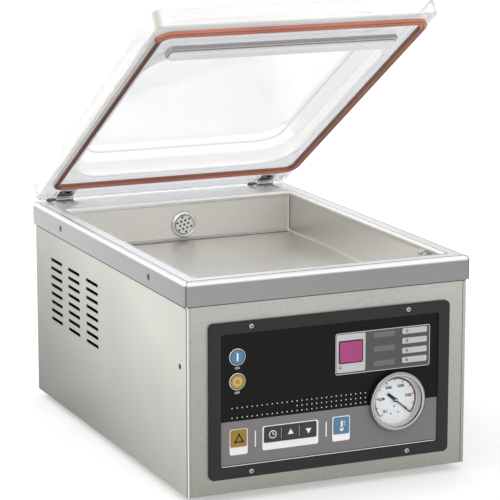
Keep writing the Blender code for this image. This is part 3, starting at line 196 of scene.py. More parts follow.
# Hinges
HINGE_X = 0.1303
HINGE_W = 0.021
KNUCKLE_R = 0.0027
LEAF_T = 0.0015
LEAF_LENGTH = 0.0235
PIN_R = 0.0013
PIN_PLAY = 0.00015
MIDDLE_KNUCKLE = 0.0094
SPRING_WIRE_R = 0.00045
SPRING_PITCH = 0.0014
SPRING_TURNS = 4
SPRING_LEG = 0.020
SPRING_COIL_R = 0.00205
SPRING_STEPS = 120
SPRING_LEG_STEPS = 4
LEAF_FILM = 0.00006
LEAF_REFLECTION_SHORT = 0.0008
LEAF_REFLECTION_H = 0.0062
LEAF_REFLECTION_CORNER = 0.0006
LEAF_REFLECTION_Y = -0.0090
LEAF_SHADOW_H = 0.0022
LEAF_SHADOW_CORNER = 0.0003
LEAF_SHADOW_GAP = 0.0034
LEAF_SCREW_SHARE = 0.72

# Control panel: heights are above the cabinet's base, and "out" is out from the overlay's face
FACE_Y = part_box("control_overlay")[0].y
BEZEL_T = 0.003
BEZEL_CORNER = 0.0055
OVERLAY_CORNER = 0.0015
BAND_TOP = 0.0773
INK = 0.00012
KEY_PROUD = 0.001
KEY_EDGE = 0.0004
KEY_LIP = 0.0006
KEY_FLANGE = -0.0015
KEY_COLLAR = 0.0008
KEY_BACK = -0.0027
DISPLAY_OUT = 0.0011
LABEL_T = 0.00025

# Prints of the control panel: patches are (left, low, right, high), labels and bars (width, height, corner),
# rings (outer, inner), rows of dots (up, first dot) and dividers (x, up, height)
DOT_R = 0.0006
DOT_X = -0.1123
DOT_STEP = 0.0057
DOT_COUNT = 28
DOT_ROWS = ((0.0915, 0), (0.0863, 13), (0.0810, 0))
DIVIDER_W = 0.0012
DIVIDER_CORNER = 0.0003
DIVIDERS = ((-0.0859, 0.05595, 0.0173), (-0.0042, 0.05665, 0.0165))
PATCH_CORNER = 0.0022
PATCH_HOLE_CORNER = 0.0018
STOP_PATCH = (-0.1151, 0.0410, -0.0946, 0.0687)
HEAT_PATCH = (0.0030, 0.0420, 0.0236, 0.0690)
BLOCK_PATCH = (-0.0778, 0.0422, -0.0134, 0.0684)
BLOCK_MARGIN = 0.0005
WORD_SIZE = 0.0034
WORD_DROP = 0.0120
FILM_HIGHLIGHT_H = 0.0008
FILM_HIGHLIGHT_RISE = 0.0005
FILM_LINE_H = 0.0007
FILM_LINE_RISE = 0.0014
GAP_LINE = (0.0005, 0.0120, LINE_CORNER)
GAP_FIELD = (0.0017, 0.0170, LINE_CORNER)
PLATE_INSET = 0.0006
PLATE_CORNER = 0.0024
PLATE_LINE = 0.0007
READING_LABEL = (0.0336, 0.0413, 0.0020)
READING_AT = (0.0237, 0.13715)
LAMP_LABEL = (0.0292, 0.0063, 0.0014)
LAMP_LABEL_X = 0.0988
LAMP_UPS = (0.1544, 0.1437, 0.1330, 0.1227)
DIM_LABEL = (0.0250, 0.0060, 0.0012)
DIM_LABEL_X = 0.0628
DIM_LABEL_UPS = (0.1535, 0.1382, 0.1223)
LAMP_RING = (0.0015, 0.0009)
LAMP_X = 0.0896
SPARE_LAMP = (0.0109, 0.1223)
WINDOW_OUTSET = 0.0022
WINDOW_CORNER = 0.0014
WINDOW_LINE = 0.0011

# Marks on the keys
ON_BAR = (0.0018, 0.0085, 0.0006)
OFF_RING = (0.0046, 0.0031)
STOP_REACH = 0.0066
STOP_SIDE = 1.75
STOP_LINE = 0.0014
STOP_CORNER = 0.0004
STOP_DROP = 0.0010
CLOCK_RING = (0.0043, 0.0035)
CLOCK_LONG_HAND = (0.0007, 0.0032, LINE_CORNER)
CLOCK_LONG_UP = 0.0011
CLOCK_SHORT_HAND = (0.0026, 0.0007, LINE_CORNER)
CLOCK_SHORT_OUT = 0.0010
ARROW_REACH = 0.0038
HEAT_BULB_R = 0.0022
HEAT_BULB_DROP = 0.0036
HEAT_STEM = (0.0021, 0.0088, 0.0010)
HEAT_STEM_UP = 0.0012
HEAT_TICK = (0.0018, 0.0006, LINE_CORNER)
HEAT_TICK_X = 0.0030
HEAT_TICK_UPS = [0.0008 + 0.0018 * row for row in range(3)]

# Gauge: heights are out from the overlay's face, or from the dial's face for its prints and the needle
GAUGE_R = 0.0325
GAUGE_TOP = 0.0075
GAUGE_FOOT = 0.0018
GAUGE_LIP = 0.0003
GAUGE_STEPS = 96
RING_INNER = ((0.0, 0.0006), (0.0005, 0.0001), (0.0014, 0.0))
RING_OUTER = ((0.0014, 0.0004), (0.0005, 0.0012), (0.0, 0.0025))
RING_LINE = (0.0016, 0.0020)
RING_LINE_DROP = 0.0004
SHADE_LINE_W = 0.0002
SHADE_LINE_DROP = 0.0007
LENS_R = 0.0285
LENS_OUT = 0.0046
LENS_T = 0.0014
LENS_PLAY = 0.0004
LENS_CROWN = 0.0001
LENS_CROWN_SHARE = 0.6
WALL_FOOT = 0.0006
WALL_GAP = 0.0001
WALL_BEND = 0.0004
WALL_UNDER = 0.00025
WALL_T = 0.0002
DIAL_R = 0.0268
DIAL_T = 0.0008
DIAL_BORE = 0.0011
DIAL_OUT = -0.0018
GAUGE_REST = math.radians(-40.0)
DIAL_SWEEP = math.radians(265.0)
DIAL_NUMBERS = ("0", "0.02", "0.04", "0.06", "0.08", "0.1")
DIAL_DIVISIONS = 10
DIAL_PRINT_T = 0.00008
BOLD = 0.00022
MARK_REACH = 0.0236
MARK_W = 0.0009
MARK_CORNER = 0.0001
LONG_MARK = 0.0034
SHORT_MARK = 0.0024
NUMBER_REACH = 0.0163
NUMBER_SIZE = 0.0042
RED_SHARE = 0.6
RED_ARC = (0.0230, 0.0020)
RED_ARC_T = 0.0001
BLACK_ARC = (0.0233, 0.0011)
SMALL_RING = (0.0011, 0.0006)
SMALL_RING_AT = (-0.0012, -0.0066)
SMALL_DOT_R = 0.0009
SMALL_DOTS = ((-0.0050, -0.0148), (0.0039, -0.0136))
NEEDLE_LENGTH = 0.0235
NEEDLE_R = 0.00065
NEEDLE_OUT = 0.0010
NEEDLE_TAIL = 0.012
TAIL_W = 0.0034
TAIL_CORNER = 0.0006
TAIL_LOW = 0.0005
TAIL_TOP = 0.0009
NEEDLE_HUB = (
    (0.0012, 0.0017), (0.0020, 0.0016), (0.0024, 0.0012), (0.0024, 0.0005), (0.0008, 0.0005),
    (0.0008, -0.0016), (0, -0.0016), (0, 0.0014), (0.0012, 0.0014),
)
NEEDLE_CAP = ((0, 0.0019), (0.0008, 0.0018), (0.0012, 0.0015), (0, 0.0015))

# Hoses: node, radius, start, way out of it, end, way into it
HOSES = {
    "suction_hose": (
        "vacuum_hose", 0.006, (0.0045, 0.197, 0.1782), (0, 0, -1), (-0.060, 0.1653, 0.1172), (0, -1, 0),
    ),
    "outlet_hose": (
        "exhaust_hose", 0.006, (-0.095, 0.1653, 0.1172), (0, 1, 0), (-0.095, 0.2287, 0.129), (0, 1, 0),
    ),
    "lift_tube": (
        "bladder_tube", 0.0025, (0.035, -0.1023, 0.0308), (0, -1, 0), (0.035, -0.180, 0.1872), (0, 0, 1),
    ),
}
HOSE_SIDES = 20

# Studio
SUN_TOWARDS = (0.6, -0.2, -0.8)
SUN_STRENGTH = 0.7
SUN_ANGLE = 40
FLOOR_HALF = 14
FLOOR_GRAIN = 40.0
FLOOR_DARK = (0.70, 0.70, 0.70)
FLOOR_LIGHT = (0.72, 0.72, 0.72)
FLOOR_GLOW = 0.36

FRONTWARD = Matrix.Rotation(math.pi / 2, 4, "X")
BACKWARD = Matrix.Rotation(math.pi, 4, "Z") @ FRONTWARD
LEFTWARD = Matrix.Rotation(-math.pi / 2, 4, "Z") @ FRONTWARD
RIGHTWARD = Matrix.Rotation(math.pi / 2, 4, "Z") @ FRONTWARD
SIDES = ((-1, LEFTWARD), (1, RIGHTWARD))
OPENED = Matrix.Translation(AXIS) @ Matrix.Rotation(-LID_OPEN, 4, "X")
ALONG_X = Matrix.Rotation(math.pi / 2, 4, "Y")
FACE_DOWN = Matrix.Rotation(math.pi, 4, "X")


def middle(node):
    low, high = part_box(node)
    return (low + high) / 2


def span(node):
    low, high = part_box(node)
    return high - low


def at(x, y, z, turn=Matrix.Identity(4)):
    return Matrix.Translation((x, y, z)) @ turn


def on_panel(x, up, out=0.0):
    """A place on the control overlay's face, facing the front."""
    return at(x, FACE_Y - out, Z_BASE + up, FRONTWARD)


# Shader groups
def group_tree(name, inputs, outputs):
    tree = bpy.data.node_groups.new(name, "ShaderNodeTree")
    for label, kind, value in inputs:
        socket = tree.interface.new_socket(label, in_out="INPUT", socket_type=kind)
        if value is not None:
            socket.default_value = value
    for label, kind in outputs:
        tree.interface.new_socket(label, in_out="OUTPUT", socket_type=kind)
    return tree, tree.nodes.new("NodeGroupInput"), tree.nodes.new("NodeGroupOutput")


def brushed_group():
    """Fine streaks drawn out along one direction, a slow cloudiness, and a painted shade gradient: the tone
    goes dark to light along the sheet as light falls on it.
    """
    inputs = [
        ("Vector", "NodeSocketVector", None),
        ("Stretch", "NodeSocketVector", (30, 30, 900)),
        ("Cloud Scale", "NodeSocketFloat", 7.0),
        ("Drift", "NodeSocketVector", (0, 0, 0)),
        ("Drift Start", "NodeSocketFloat", 0.5),
        ("Second Drift", "NodeSocketVector", (0, 0, 0)),
        ("Second Drift Start", "NodeSocketFloat", 0.0),
    ]
    outputs = [("Streak", "NodeSocketFloat"), ("Cloud", "NodeSocketFloat"), ("Drift", "NodeSocketFloat")]
    tree, given, result = group_tree("brushed_grain", inputs, outputs)
    scaled = tree.nodes.new("ShaderNodeVectorMath")
    scaled.operation = "MULTIPLY"
    tree.links.new(given.outputs["Vector"], scaled.inputs[0])
    tree.links.new(given.outputs["Stretch"], scaled.inputs[1])
    streak = tree.nodes.new("ShaderNodeTexNoise")
    streak.inputs["Scale"].default_value = 1.0
    streak.inputs["Detail"].default_value = 4.0
    streak.inputs["Roughness"].default_value = 0.65
    tree.links.new(scaled.outputs[0], streak.inputs["Vector"])
    cloud = tree.nodes.new("ShaderNodeTexNoise")
    cloud.inputs["Detail"].default_value = 2.0
    tree.links.new(given.outputs["Vector"], cloud.inputs["Vector"])
    tree.links.new(given.outputs["Cloud Scale"], cloud.inputs["Scale"])
    stronger = tree.nodes.new("ShaderNodeMath")
    stronger.operation = "MAXIMUM"
    for count, label in enumerate(("Drift", "Second Drift")):
        along = tree.nodes.new("ShaderNodeVectorMath")
        along.operation = "DOT_PRODUCT"
        tree.links.new(given.outputs["Vector"], along.inputs[0])
        tree.links.new(given.outputs[label], along.inputs[1])
        painted_shade = tree.nodes.new("ShaderNodeMath")
        painted_shade.operation = "ADD"
        painted_shade.use_clamp = True
        tree.links.new(along.outputs["Value"], painted_shade.inputs[0])
        tree.links.new(given.outputs[label + " Start"], painted_shade.inputs[1])
        tree.links.new(painted_shade.outputs[0], stronger.inputs[count])
    tree.links.new(streak.outputs["Fac"], result.inputs["Streak"])
    tree.links.new(cloud.outputs["Fac"], result.inputs["Cloud"])
    tree.links.new(stronger.outputs[0], result.inputs["Drift"])
    return tree


def speckle_group():
    """A fine even grain, as on moulded plastic, rubber and printed film."""
    inputs = [("Vector", "NodeSocketVector", None), ("Grain Scale", "NodeSocketFloat", 1500.0)]
    outputs = [("Grain", "NodeSocketFloat"), ("Cloud", "NodeSocketFloat")]
    tree, given, result = group_tree("speckle_grain", inputs, outputs)
    grain = tree.nodes.new("ShaderNodeTexNoise")
    grain.inputs["Detail"].default_value = 2.0
    tree.links.new(given.outputs["Vector"], grain.inputs["Vector"])
    tree.links.new(given.outputs["Grain Scale"], grain.inputs["Scale"])
    cloud = tree.nodes.new("ShaderNodeTexNoise")
    cloud.inputs["Scale"].default_value = 14.0
    tree.links.new(given.outputs["Vector"], cloud.inputs["Vector"])
    tree.links.new(grain.outputs["Fac"], result.inputs["Grain"])
    tree.links.new(cloud.outputs["Fac"], result.inputs["Cloud"])
    return tree


BRUSHED = brushed_group()
SPECKLE = speckle_group()
NO_DRIFT = (0, 0, 0)


def new_material(name):
    made = bpy.data.materials.new(name)
    made.use_nodes = True
    tree = made.node_tree
    place = tree.nodes.new("ShaderNodeTexCoord").outputs["Object"]
    return made, tree, tree.nodes["Principled BSDF"], place


def spread(tree, value, low, high):
    """A mask taken from 0.3..0.7, where noise mostly lies, to a range of its own."""
    ranged = tree.nodes.new("ShaderNodeMapRange")
    ranged.inputs["From Min"].default_value = 0.3
    ranged.inputs["From Max"].default_value = 0.7
    ranged.inputs["To Min"].default_value = low
    ranged.inputs["To Max"].default_value = high
    tree.links.new(value, ranged.inputs["Value"])
    return ranged.outputs["Result"]


def tint(tree, mask, dark, light):
    mixed = tree.nodes.new("ShaderNodeMix")
    mixed.data_type = "RGBA"
    mixed.inputs["A"].default_value = (*dark, 1)
    mixed.inputs["B"].default_value = (*light, 1)
    tree.links.new(mask, mixed.inputs["Factor"])
    return mixed.outputs["Result"]


def bumped(tree, shader, height, distance):
    bump = tree.nodes.new("ShaderNodeBump")
    bump.inputs["Distance"].default_value = distance
    bump.inputs["Strength"].default_value = 1.0
    tree.links.new(height, bump.inputs["Height"])
    tree.links.new(bump.outputs["Normal"], shader.inputs["Normal"])


def scaled(values, share):
    return tuple(value * share for value in values)


def painted(tree):
    """The tint that a piece's own mesh carries, which holds painted light and shade."""
    painted_light_of = tree.nodes.new("ShaderNodeAttribute")
    painted_light_of.attribute_name = "tint"
    return painted_light_of


def varied(tree, tone, mask, contrast):
    """A tone made a little lighter and darker by a mask."""
    mixed = tree.nodes.new("ShaderNodeMix")
    mixed.data_type = "RGBA"
    mixed.blend_type = "MULTIPLY"
    mixed.inputs["Factor"].default_value = 1.0
    tree.links.new(tone, mixed.inputs["A"])
    tree.links.new(tint(tree, mask, (1 - contrast,) * 3, (1 + contrast,) * 3), mixed.inputs["B"])
    return mixed.outputs["Result"]


def speckled(tree, place, scale):
    """The outputs of a fine grain."""
    grain = tree.nodes.new("ShaderNodeGroup")
    grain.node_tree = SPECKLE
    grain.inputs["Grain Scale"].default_value = scale
    tree.links.new(place, grain.inputs["Vector"])
    return grain.outputs


def steel(
    name, dark, light, roughness, stretch, depth, contrast=0.05,
    painted_shade=NO_DRIFT, start=0.5, second=(NO_DRIFT, 0.0),
):
    """Brushed or drawn metal with painted shade, its tone going from dark to light along a gradient, or else
    with the painted light and shade that the mesh's tint carries.
    """
    made, tree, shader, place = new_material(name)
    grain = tree.nodes.new("ShaderNodeGroup")
    grain.node_tree = BRUSHED
    second_drift, second_start = second
    grain.inputs["Stretch"].default_value = stretch
    grain.inputs["Drift"].default_value = painted_shade
    grain.inputs["Drift Start"].default_value = start
    grain.inputs["Second Drift"].default_value = second_drift
    grain.inputs["Second Drift Start"].default_value = second_start
    tree.links.new(place, grain.inputs["Vector"])
    tone = tint(tree, grain.outputs["Drift"], dark, light) if light else painted(tree).outputs["Color"]
    mask = spread(tree, grain.outputs["Streak"], 0, 1)
    tree.links.new(varied(tree, tone, mask, contrast), shader.inputs["Base Color"])
    uneven = spread(tree, grain.outputs["Cloud"], roughness * 0.85, roughness * 1.15)
    tree.links.new(uneven, shader.inputs["Roughness"])
    shader.inputs["Metallic"].default_value = 1.0
    if not light:
        tree.links.new(painted(tree).outputs["Alpha"], shader.inputs["Metallic"])
    bumped(tree, shader, grain.outputs["Streak"], depth)
    return made


def plain_steel(name, tone, roughness, stretch, depth, contrast=0.05):
    return steel(name, tone, tone, roughness, stretch, depth, contrast)


def moulded(name, colour, roughness, depth=0.00002, grain_scale=1500.0, contrast=0.05, gloss=0.5, coat=0.0):
    """Plastic, rubber, enamel or print with a fine skin; with no colour it shows the painted light and shade
    that the mesh's tint carries.
    """
    made, tree, shader, place = new_material(name)
    grain = speckled(tree, place, grain_scale)
    mask = spread(tree, grain["Cloud"], 0, 1)
    if colour:
        base = tint(tree, mask, scaled(colour, 1 - contrast), scaled(colour, 1 + contrast))
    else:
        base = varied(tree, painted(tree).outputs["Color"], mask, contrast)
    tree.links.new(base, shader.inputs["Base Color"])
    uneven = spread(tree, grain["Grain"], roughness * 0.9, roughness * 1.1)
    tree.links.new(uneven, shader.inputs["Roughness"])
    shader.inputs["Specular IOR Level"].default_value = gloss
    shader.inputs["Coat Weight"].default_value = coat
    bumped(tree, shader, grain["Grain"], depth)
    return made


def light_painted_clear(name, ior, smudge):
    """Clear plastic whose edges and slopes carry painted light: tints and alpha that stand in for refraction,
    reflection and shade.
    """
    made = clear(name, (1, 1, 1), ior, 1.0, smudge)
    tree = made.node_tree
    shader = tree.nodes["Principled BSDF"]
    tints = painted(tree)
    tree.links.new(tints.outputs["Color"], shader.inputs["Base Color"])
    tree.links.new(tints.outputs["Alpha"], shader.inputs["Alpha"])
    return made


def clear(name, colour, ior, alpha, smudge):
    """Clear plastic or glass, a little uneven where hands have wiped it."""
    made, tree, shader, place = new_material(name)
    cloud = speckled(tree, place, 60.0)["Cloud"]
    tree.links.new(spread(tree, cloud, smudge * 0.4, smudge), shader.inputs["Roughness"])
    shader.inputs["Base Color"].default_value = (*colour, 1)
    shader.inputs["Transmission Weight"].default_value = 1.0
    shader.inputs["IOR"].default_value = ior
    shader.inputs["Alpha"].default_value = alpha
    return made


def banded_overlay(name):
    """Printed film: black, with a grey band below."""
    black = (0.005, 0.0038, 0.0042)
    grey = (0.231, 0.225, 0.228)
    made, tree, shader, place = new_material(name)
    split = tree.nodes.new("ShaderNodeSeparateXYZ")
    tree.links.new(place, split.inputs["Vector"])
    below = tree.nodes.new("ShaderNodeMath")
    below.operation = "LESS_THAN"
    below.inputs[1].default_value = Z_BASE + BAND_TOP
    tree.links.new(split.outputs["Z"], below.inputs[0])
    tree.links.new(tint(tree, below.outputs[0], black, grey), shader.inputs["Base Color"])
    grain = speckled(tree, place, 900.0)["Grain"]
    tree.links.new(spread(tree, grain, 0.40, 0.50), shader.inputs["Roughness"])
    shader.inputs["Specular IOR Level"].default_value = 0.15
    bumped(tree, shader, grain, 0.00001)
    return made


# Painted shade: these sheets are darker towards the rear and the bottom and lighter towards the front and the
# top
SIDE_STEEL = steel(
    "side_steel", (0.184, 0.184, 0.170), (0.626, 0.626, 0.580), 0.42, (260, 200, 1400), 0.00002, 0.05,
    painted_shade=(0, -1.25, 3.27), start=0.26,
)
# Painted shade: the front sheet is darker towards the bottom and lighter towards the top
FRONT_STEEL = steel(
    "front_steel", (0.322, 0.317, 0.285), (0.497, 0.497, 0.465), 0.42, (420, 260, 1100), 0.00004, 0.12,
    painted_shade=(0, 0, 3.4), start=0.06,
)
# The rim's colour and metalness are painted light and shade, carried in its mesh's tint
RIM_PAINTED_LIGHT_STEEL = steel("rim_painted_light_steel", None, None, 0.34, (90, 90, 1600), 0.00001, 0.04)
SKIRT_STEEL = plain_steel("skirt_steel", (0.62, 0.62, 0.62), 0.34, (90, 90, 1600), 0.00001, 0.04)
# Painted shade: the chamber's floor darkens towards the back wall, and the back wall itself is painted light
TUB_STEEL = steel(
    "tub_steel", (0.52, 0.51, 0.475), (0.92, 0.91, 0.87), 0.36, (60, 500, 500), 0.00001, 0.03,
    painted_shade=(0, -2.6, 0), start=0.66, second=((0, 800, 0), -140.4),
)
GRILLE_STEEL = plain_steel("grille_steel", (0.92, 0.91, 0.88), 0.32, (500, 500, 500), 0.00001, 0.03)
CHROME = plain_steel("chrome", (0.66, 0.66, 0.66), 0.10, (200, 200, 200), 0.000002, 0.02)
BRIGHT_ALLOY = plain_steel("bright_alloy", (0.62, 0.62, 0.61), 0.20, (60, 900, 900), 0.000005, 0.04)
# Painted reflection: the dark reddish-brown band on each lid leaf, where it would mirror the gasket
GASKET_REFLECTION_STEEL = plain_steel("gasket_reflection_steel", (0.24, 0.19, 0.17), 0.20, (900, 120, 120), 0.000004, 0.20)
SPRING_STEEL = plain_steel("spring_steel", (0.30, 0.29, 0.27), 0.22, (900, 900, 900), 0.000004, 0.10)
RING_STEEL = plain_steel("ring_steel", (0.46, 0.46, 0.465), 0.12, (200, 200, 200), 0.000002, 0.02)
# The counter bar's alloy grey with a painted mauve reflection in it
BAR_ALLOY_AND_REFLECTION = plain_steel("bar_alloy_and_reflection", (0.44, 0.41, 0.41), 0.16, (60, 900, 900), 0.000003, 0.04)
DARK_STEEL = plain_steel("dark_steel", (0.07, 0.068, 0.066), 0.30, (600, 600, 600), 0.00001, 0.08)
SCREW_STEEL = plain_steel("screw_steel", (0.46, 0.46, 0.45), 0.28, (900, 900, 900), 0.00001, 0.05)
CAST = plain_steel("cast_alloy", (0.58, 0.58, 0.58), 0.45, (400, 400, 400), 0.00004, 0.05)
BRASS = plain_steel("machined_brass", (0.62, 0.45, 0.18), 0.30, (300, 300, 1200), 0.00001, 0.05)
IRON = plain_steel("laminated_iron", (0.20, 0.19, 0.18), 0.55, (40, 2600, 40), 0.00005, 0.2)
COPPER = plain_steel("wound_copper", (0.62, 0.29, 0.13), 0.35, (40, 40, 2400), 0.00008, 0.15)
CHARCOAL = moulded("charcoal_bezel", (0.021, 0.0176, 0.0185), 0.50, 0.00003, 1300.0, gloss=0.3)
OVERLAY = banded_overlay("printed_overlay")
BLUE = moulded("blue_key", (0.109, 0.239, 0.403), 0.40, gloss=0.3)
YELLOW = moulded("yellow_key", (0.47, 0.311, 0.063), 0.40, gloss=0.3)
PALE_YELLOW = moulded("pale_yellow_mark", (0.739, 0.571, 0.218), 0.45, gloss=0.3)
AMBER = moulded("amber_key", (0.378, 0.227, 0.0378), 0.40, gloss=0.3)
DARK_KEY = moulded("dark_key", (0.0437, 0.0437, 0.047), 0.42, gloss=0.3)
DARK_PLASTIC = moulded("dark_plastic", (0.0134, 0.0134, 0.0143), 0.5, gloss=0.3)
GREY_PLATE = moulded("grey_plate", (0.0924, 0.0924, 0.0966), 0.40, gloss=0.3)
PALE_PLATE = moulded("pale_plate", (0.596, 0.596, 0.605), 0.40, gloss=0.3)
DIM_PLATE = moulded("dim_plate", (0.168, 0.168, 0.172), 0.40, gloss=0.3)
WHITE_INK = moulded("white_ink", (0.99, 0.99, 0.985), 0.4, gloss=0.6)
# Black print, also used for painted shade and shadow
BLACK_INK_AND_SHADE = moulded("black_ink_and_shade", (0.0101, 0.0101, 0.0109), 0.5, gloss=0.2)
RED_INK = moulded("red_ink", (0.168, 0.0403, 0.0302), 0.5, gloss=0.2)
MARK_BROWN = moulded("brown_ink", (0.0462, 0.0252, 0.0101), 0.5, gloss=0.2)
# White of the keys' rings, also used for a painted highlight
KEY_RING_AND_HIGHLIGHT = moulded("key_ring_and_highlight", (0.99, 0.99, 0.99), 0.40, gloss=0.5)
SILVER = moulded("silver_wall", (0.588, 0.596, 0.605), 0.30, 0.000005, 900.0, 0.04, 0.5)
# Painted shade in the bend at the foot of the chamber's back wall
BEND_SHADE_STEEL = moulded("bend_shade_steel", (0.47, 0.462, 0.433), 0.45, 0.000005, 900.0, 0.04, 0.4)
# Dark joints and creases, also used for painted shade
WELD_AND_SHADE = moulded("weld_and_shade_line", (0.084, 0.0773, 0.0672), 0.6, gloss=0.2)
MAGENTA = moulded("magenta_window", (0.412, 0.0521, 0.197), 0.24, 0.000005, 700.0, 0.08, 0.4)
DIAL_WHITE = moulded("dial_white", (0.945, 0.97, 0.995), 0.5, gloss=0.3)
RUBBER = moulded("black_rubber", (0.020, 0.020, 0.020), 0.78, 0.00006, 900.0, 0.15)
SILICONE = moulded("red_silicone", (0.45, 0.135, 0.085), 0.42, 0.00003, 700.0, 0.10, 0.5)
# The gasket's painted light and shade, carried in its mesh's tint
LIP_SILICONE_PAINTED_LIGHT = moulded("lip_silicone_painted_light", None, 0.42, 0.00003, 700.0, 0.10, 0.5)
WHITE_SILICONE = moulded("white_silicone", (0.90, 0.90, 0.89), 0.42, 0.00002, 700.0)
TAPE = moulded("woven_tape", (0.55, 0.42, 0.26), 0.62, 0.00010, 2200.0, 0.12)
BOARD = moulded("circuit_board", (0.020, 0.160, 0.060), 0.45, 0.00002, 500.0, 0.2)
ENAMEL = moulded("motor_enamel", (0.10, 0.13, 0.17), 0.38, 0.00005, 600.0, 0.06, 0.5, 0.3)
# Acrylic whose tints and alpha are painted light, carried in the lid's mesh
ACRYLIC = light_painted_clear("light_painted_acrylic", 1.30, 0.06)
PLAIN_ACRYLIC = clear("plain_acrylic", (0.975, 0.985, 0.995), 1.35, 0.30, 0.06)
GLASS = clear("gauge_glass", (1.0, 1.0, 1.0), 1.45, 0.06, 0.03)

CAD_FINISH = {
    SIDE_STEEL: ("left_side_panel", "right_side_panel", "back_panel", "base_tray", "pump_plate"),
    FRONT_STEEL: ("front_panel",),
    SKIRT_STEEL: ("top_frame",),
    TUB_STEEL: ("vacuum_chamber",),
    GRILLE_STEEL: ("suction_grille",),
    CHROME: ("left_lid_leaf", "right_lid_leaf", "gauge_bezel", "motor_shaft"),
    DARK_STEEL: (
        "left_base_leaf", "right_base_leaf", "left_hinge_pin", "right_hinge_pin",
        "left_hinge_spring", "right_hinge_spring",
    ),
    CAST: ("pressure_bar", "seal_bar", "pump_body"),
    BRASS: ("suction_elbow", "vacuum_valve", "air_valve", "exhaust_port"),
    IRON: ("transformer_core",),
    COPPER: ("transformer_coil",),
    CHARCOAL: ("control_bezel",),
    OVERLAY: ("control_overlay",),
    BLUE: ("on_key", "temp_key"),
    YELLOW: ("off_key",),
    AMBER: ("stop_key",),
    DARK_KEY: ("set_key", "up_key", "down_key"),
    DARK_PLASTIC: ("power_inlet", "motor_fan", "gauge_case", "gauge_needle"),
    GREY_PLATE: ("display_plate",),
    MAGENTA: ("display_window",),
    DIAL_WHITE: ("gauge_dial",),
    RUBBER: (
        "front_left_foot", "front_right_foot", "rear_left_foot", "rear_right_foot",
        "vacuum_hose", "exhaust_hose", "bladder_tube", "lift_bladder",
    ),
    SILICONE: ("lid_gasket",),
    WHITE_SILICONE: ("pressure_strip",),
    TAPE: ("seal_wire",),
    BOARD: ("control_board",),
    ENAMEL: ("motor_housing", "fan_cowl"),
    PLAIN_ACRYLIC: ("lid_shell",),
    GLASS: ("gauge_lens",),
}
for finish, names in CAD_FINISH.items():
    for name in names:
        NODES[name].data.materials.clear()
        NODES[name].data.materials.append(finish)


# Making pieces
def piece(name, bm, finish, body, stands_for=(), sharp=SHARP):
    """Turns a bmesh into a piece that rides on a body and may stand for CAD nodes."""
    bmesh.ops.remove_doubles(bm, verts=bm.verts, dist=MERGE)
    bmesh.ops.recalc_face_normals(bm, faces=bm.faces)
    mesh = bpy.data.meshes.new(name)
    bm.to_mesh(mesh)
    bm.free()
    mesh.shade_smooth()
    mesh.set_sharp_from_angle(angle=math.radians(sharp))
    mesh.materials.append(finish)
    obj = bpy.data.objects.new(name, mesh)
    bpy.context.scene.collection.objects.link(obj)
    if body:
        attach(obj, body)
    if stands_for:
        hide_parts(*stands_for)
    return obj


def section(width, depth, corner, height, x=0.0, y=0.0):
    return width, depth, min(corner, NEAR_HALF * width, NEAR_HALF * depth), height, x, y


def grown(base, outset, height, least=0.0003):
    """The same rounded section let out or, below nought, drawn in, with concentric corners."""
    width, depth, corner, _, x, y = base
    return section(width + 2 * outset, depth + 2 * outset, max(corner + outset, least), height, x, y)


def quarter(radius, steps=6):
    """(inset, rise) pairs of a quarter round, from the side wall to the top."""
    angles = [math.pi / 2 * step / steps for step in range(steps + 1)]
    return [(radius * (1 - math.cos(a)), radius * math.sin(a)) for a in angles]


def edges_within(verts):
    """The edges that join a row's own vertices, in the row's order."""
    row = set(verts)
    edges = dict.fromkeys(edge for vert in verts for edge in vert.link_edges)
    return [edge for edge in edges if row.issuperset(edge.verts)]


def extruded(bm, rim):
    """A new row of vertices drawn from a row of edges, and the new row's own edges."""
    made = bmesh.ops.extrude_edge_only(bm, edges=rim)["geom"]
    loop = [item for item in made if isinstance(item, bmesh.types.BMVert)]
    return loop, edges_within(loop)


def lofted(bm, sections, place=Matrix.Identity(4), segments=8, closed=False):
    """Rounded rectangles, each extruded from the one before and set to its own size."""
    before = set(bm.verts)
    width, depth, corner, height, x, y = sections[0]
    start = bmesh.ops.create_grid(bm, x_segments=1, y_segments=1, size=0.5)["verts"]
    bmesh.ops.scale(bm, vec=(width, depth, 1), verts=start)
    bmesh.ops.bevel(
        bm, geom=start, offset=corner, segments=segments, profile=0.5, affect="VERTICES", material=-1
    )
    loop = [vert for vert in bm.verts if vert not in before]
    bmesh.ops.translate(bm, vec=(x, y, height), verts=loop)
    rows = [loop]
    rim = edges_within(loop)
    if closed:
        cap = list(dict.fromkeys(face for vert in loop for face in vert.link_faces))
        bmesh.ops.delete(bm, geom=cap, context="FACES_ONLY")
    for old, new in zip(sections, sections[1:]):
        loop, rim = extruded(bm, rim)
        rows.append(loop)
        for vert in loop:
            resettle(vert, old, new)
    if not closed:
        bmesh.ops.edgeloop_fill(bm, edges=rim)
    bmesh.ops.transform(bm, matrix=place, verts=[vert for vert in bm.verts if vert not in before])
    return rows


def light_painted_loft(sections, painted_light_of, segments=8, closed=False):
    """A loft whose vertices carry painted light and shade as tints, chosen by row and place."""
    bm = bmesh.new()
    layer = bm.verts.layers.float_color.new("tint")
    for count, row in enumerate(lofted(bm, sections, segments=segments, closed=closed)):
        for vert in row:
            vert[layer] = painted_light_of(count, vert.co)
    return bm


def resettle(vert, old, new):
    """Moves one vertex of a rounded rectangle to its like on another."""
    width, depth, corner, _, x, y = old
    across = math.copysign(1, vert.co.x - x)
    along = math.copysign(1, vert.co.y - y)
    centre = Vector((x + across * (width / 2 - corner), y + along * (depth / 2 - corner)))
    way = (vert.co.xy - centre).normalized()
    width, depth, corner, height, x, y = new
    centre = Vector((x + across * (width / 2 - corner), y + along * (depth / 2 - corner)))
    vert.co = (*(centre + corner * way), height)


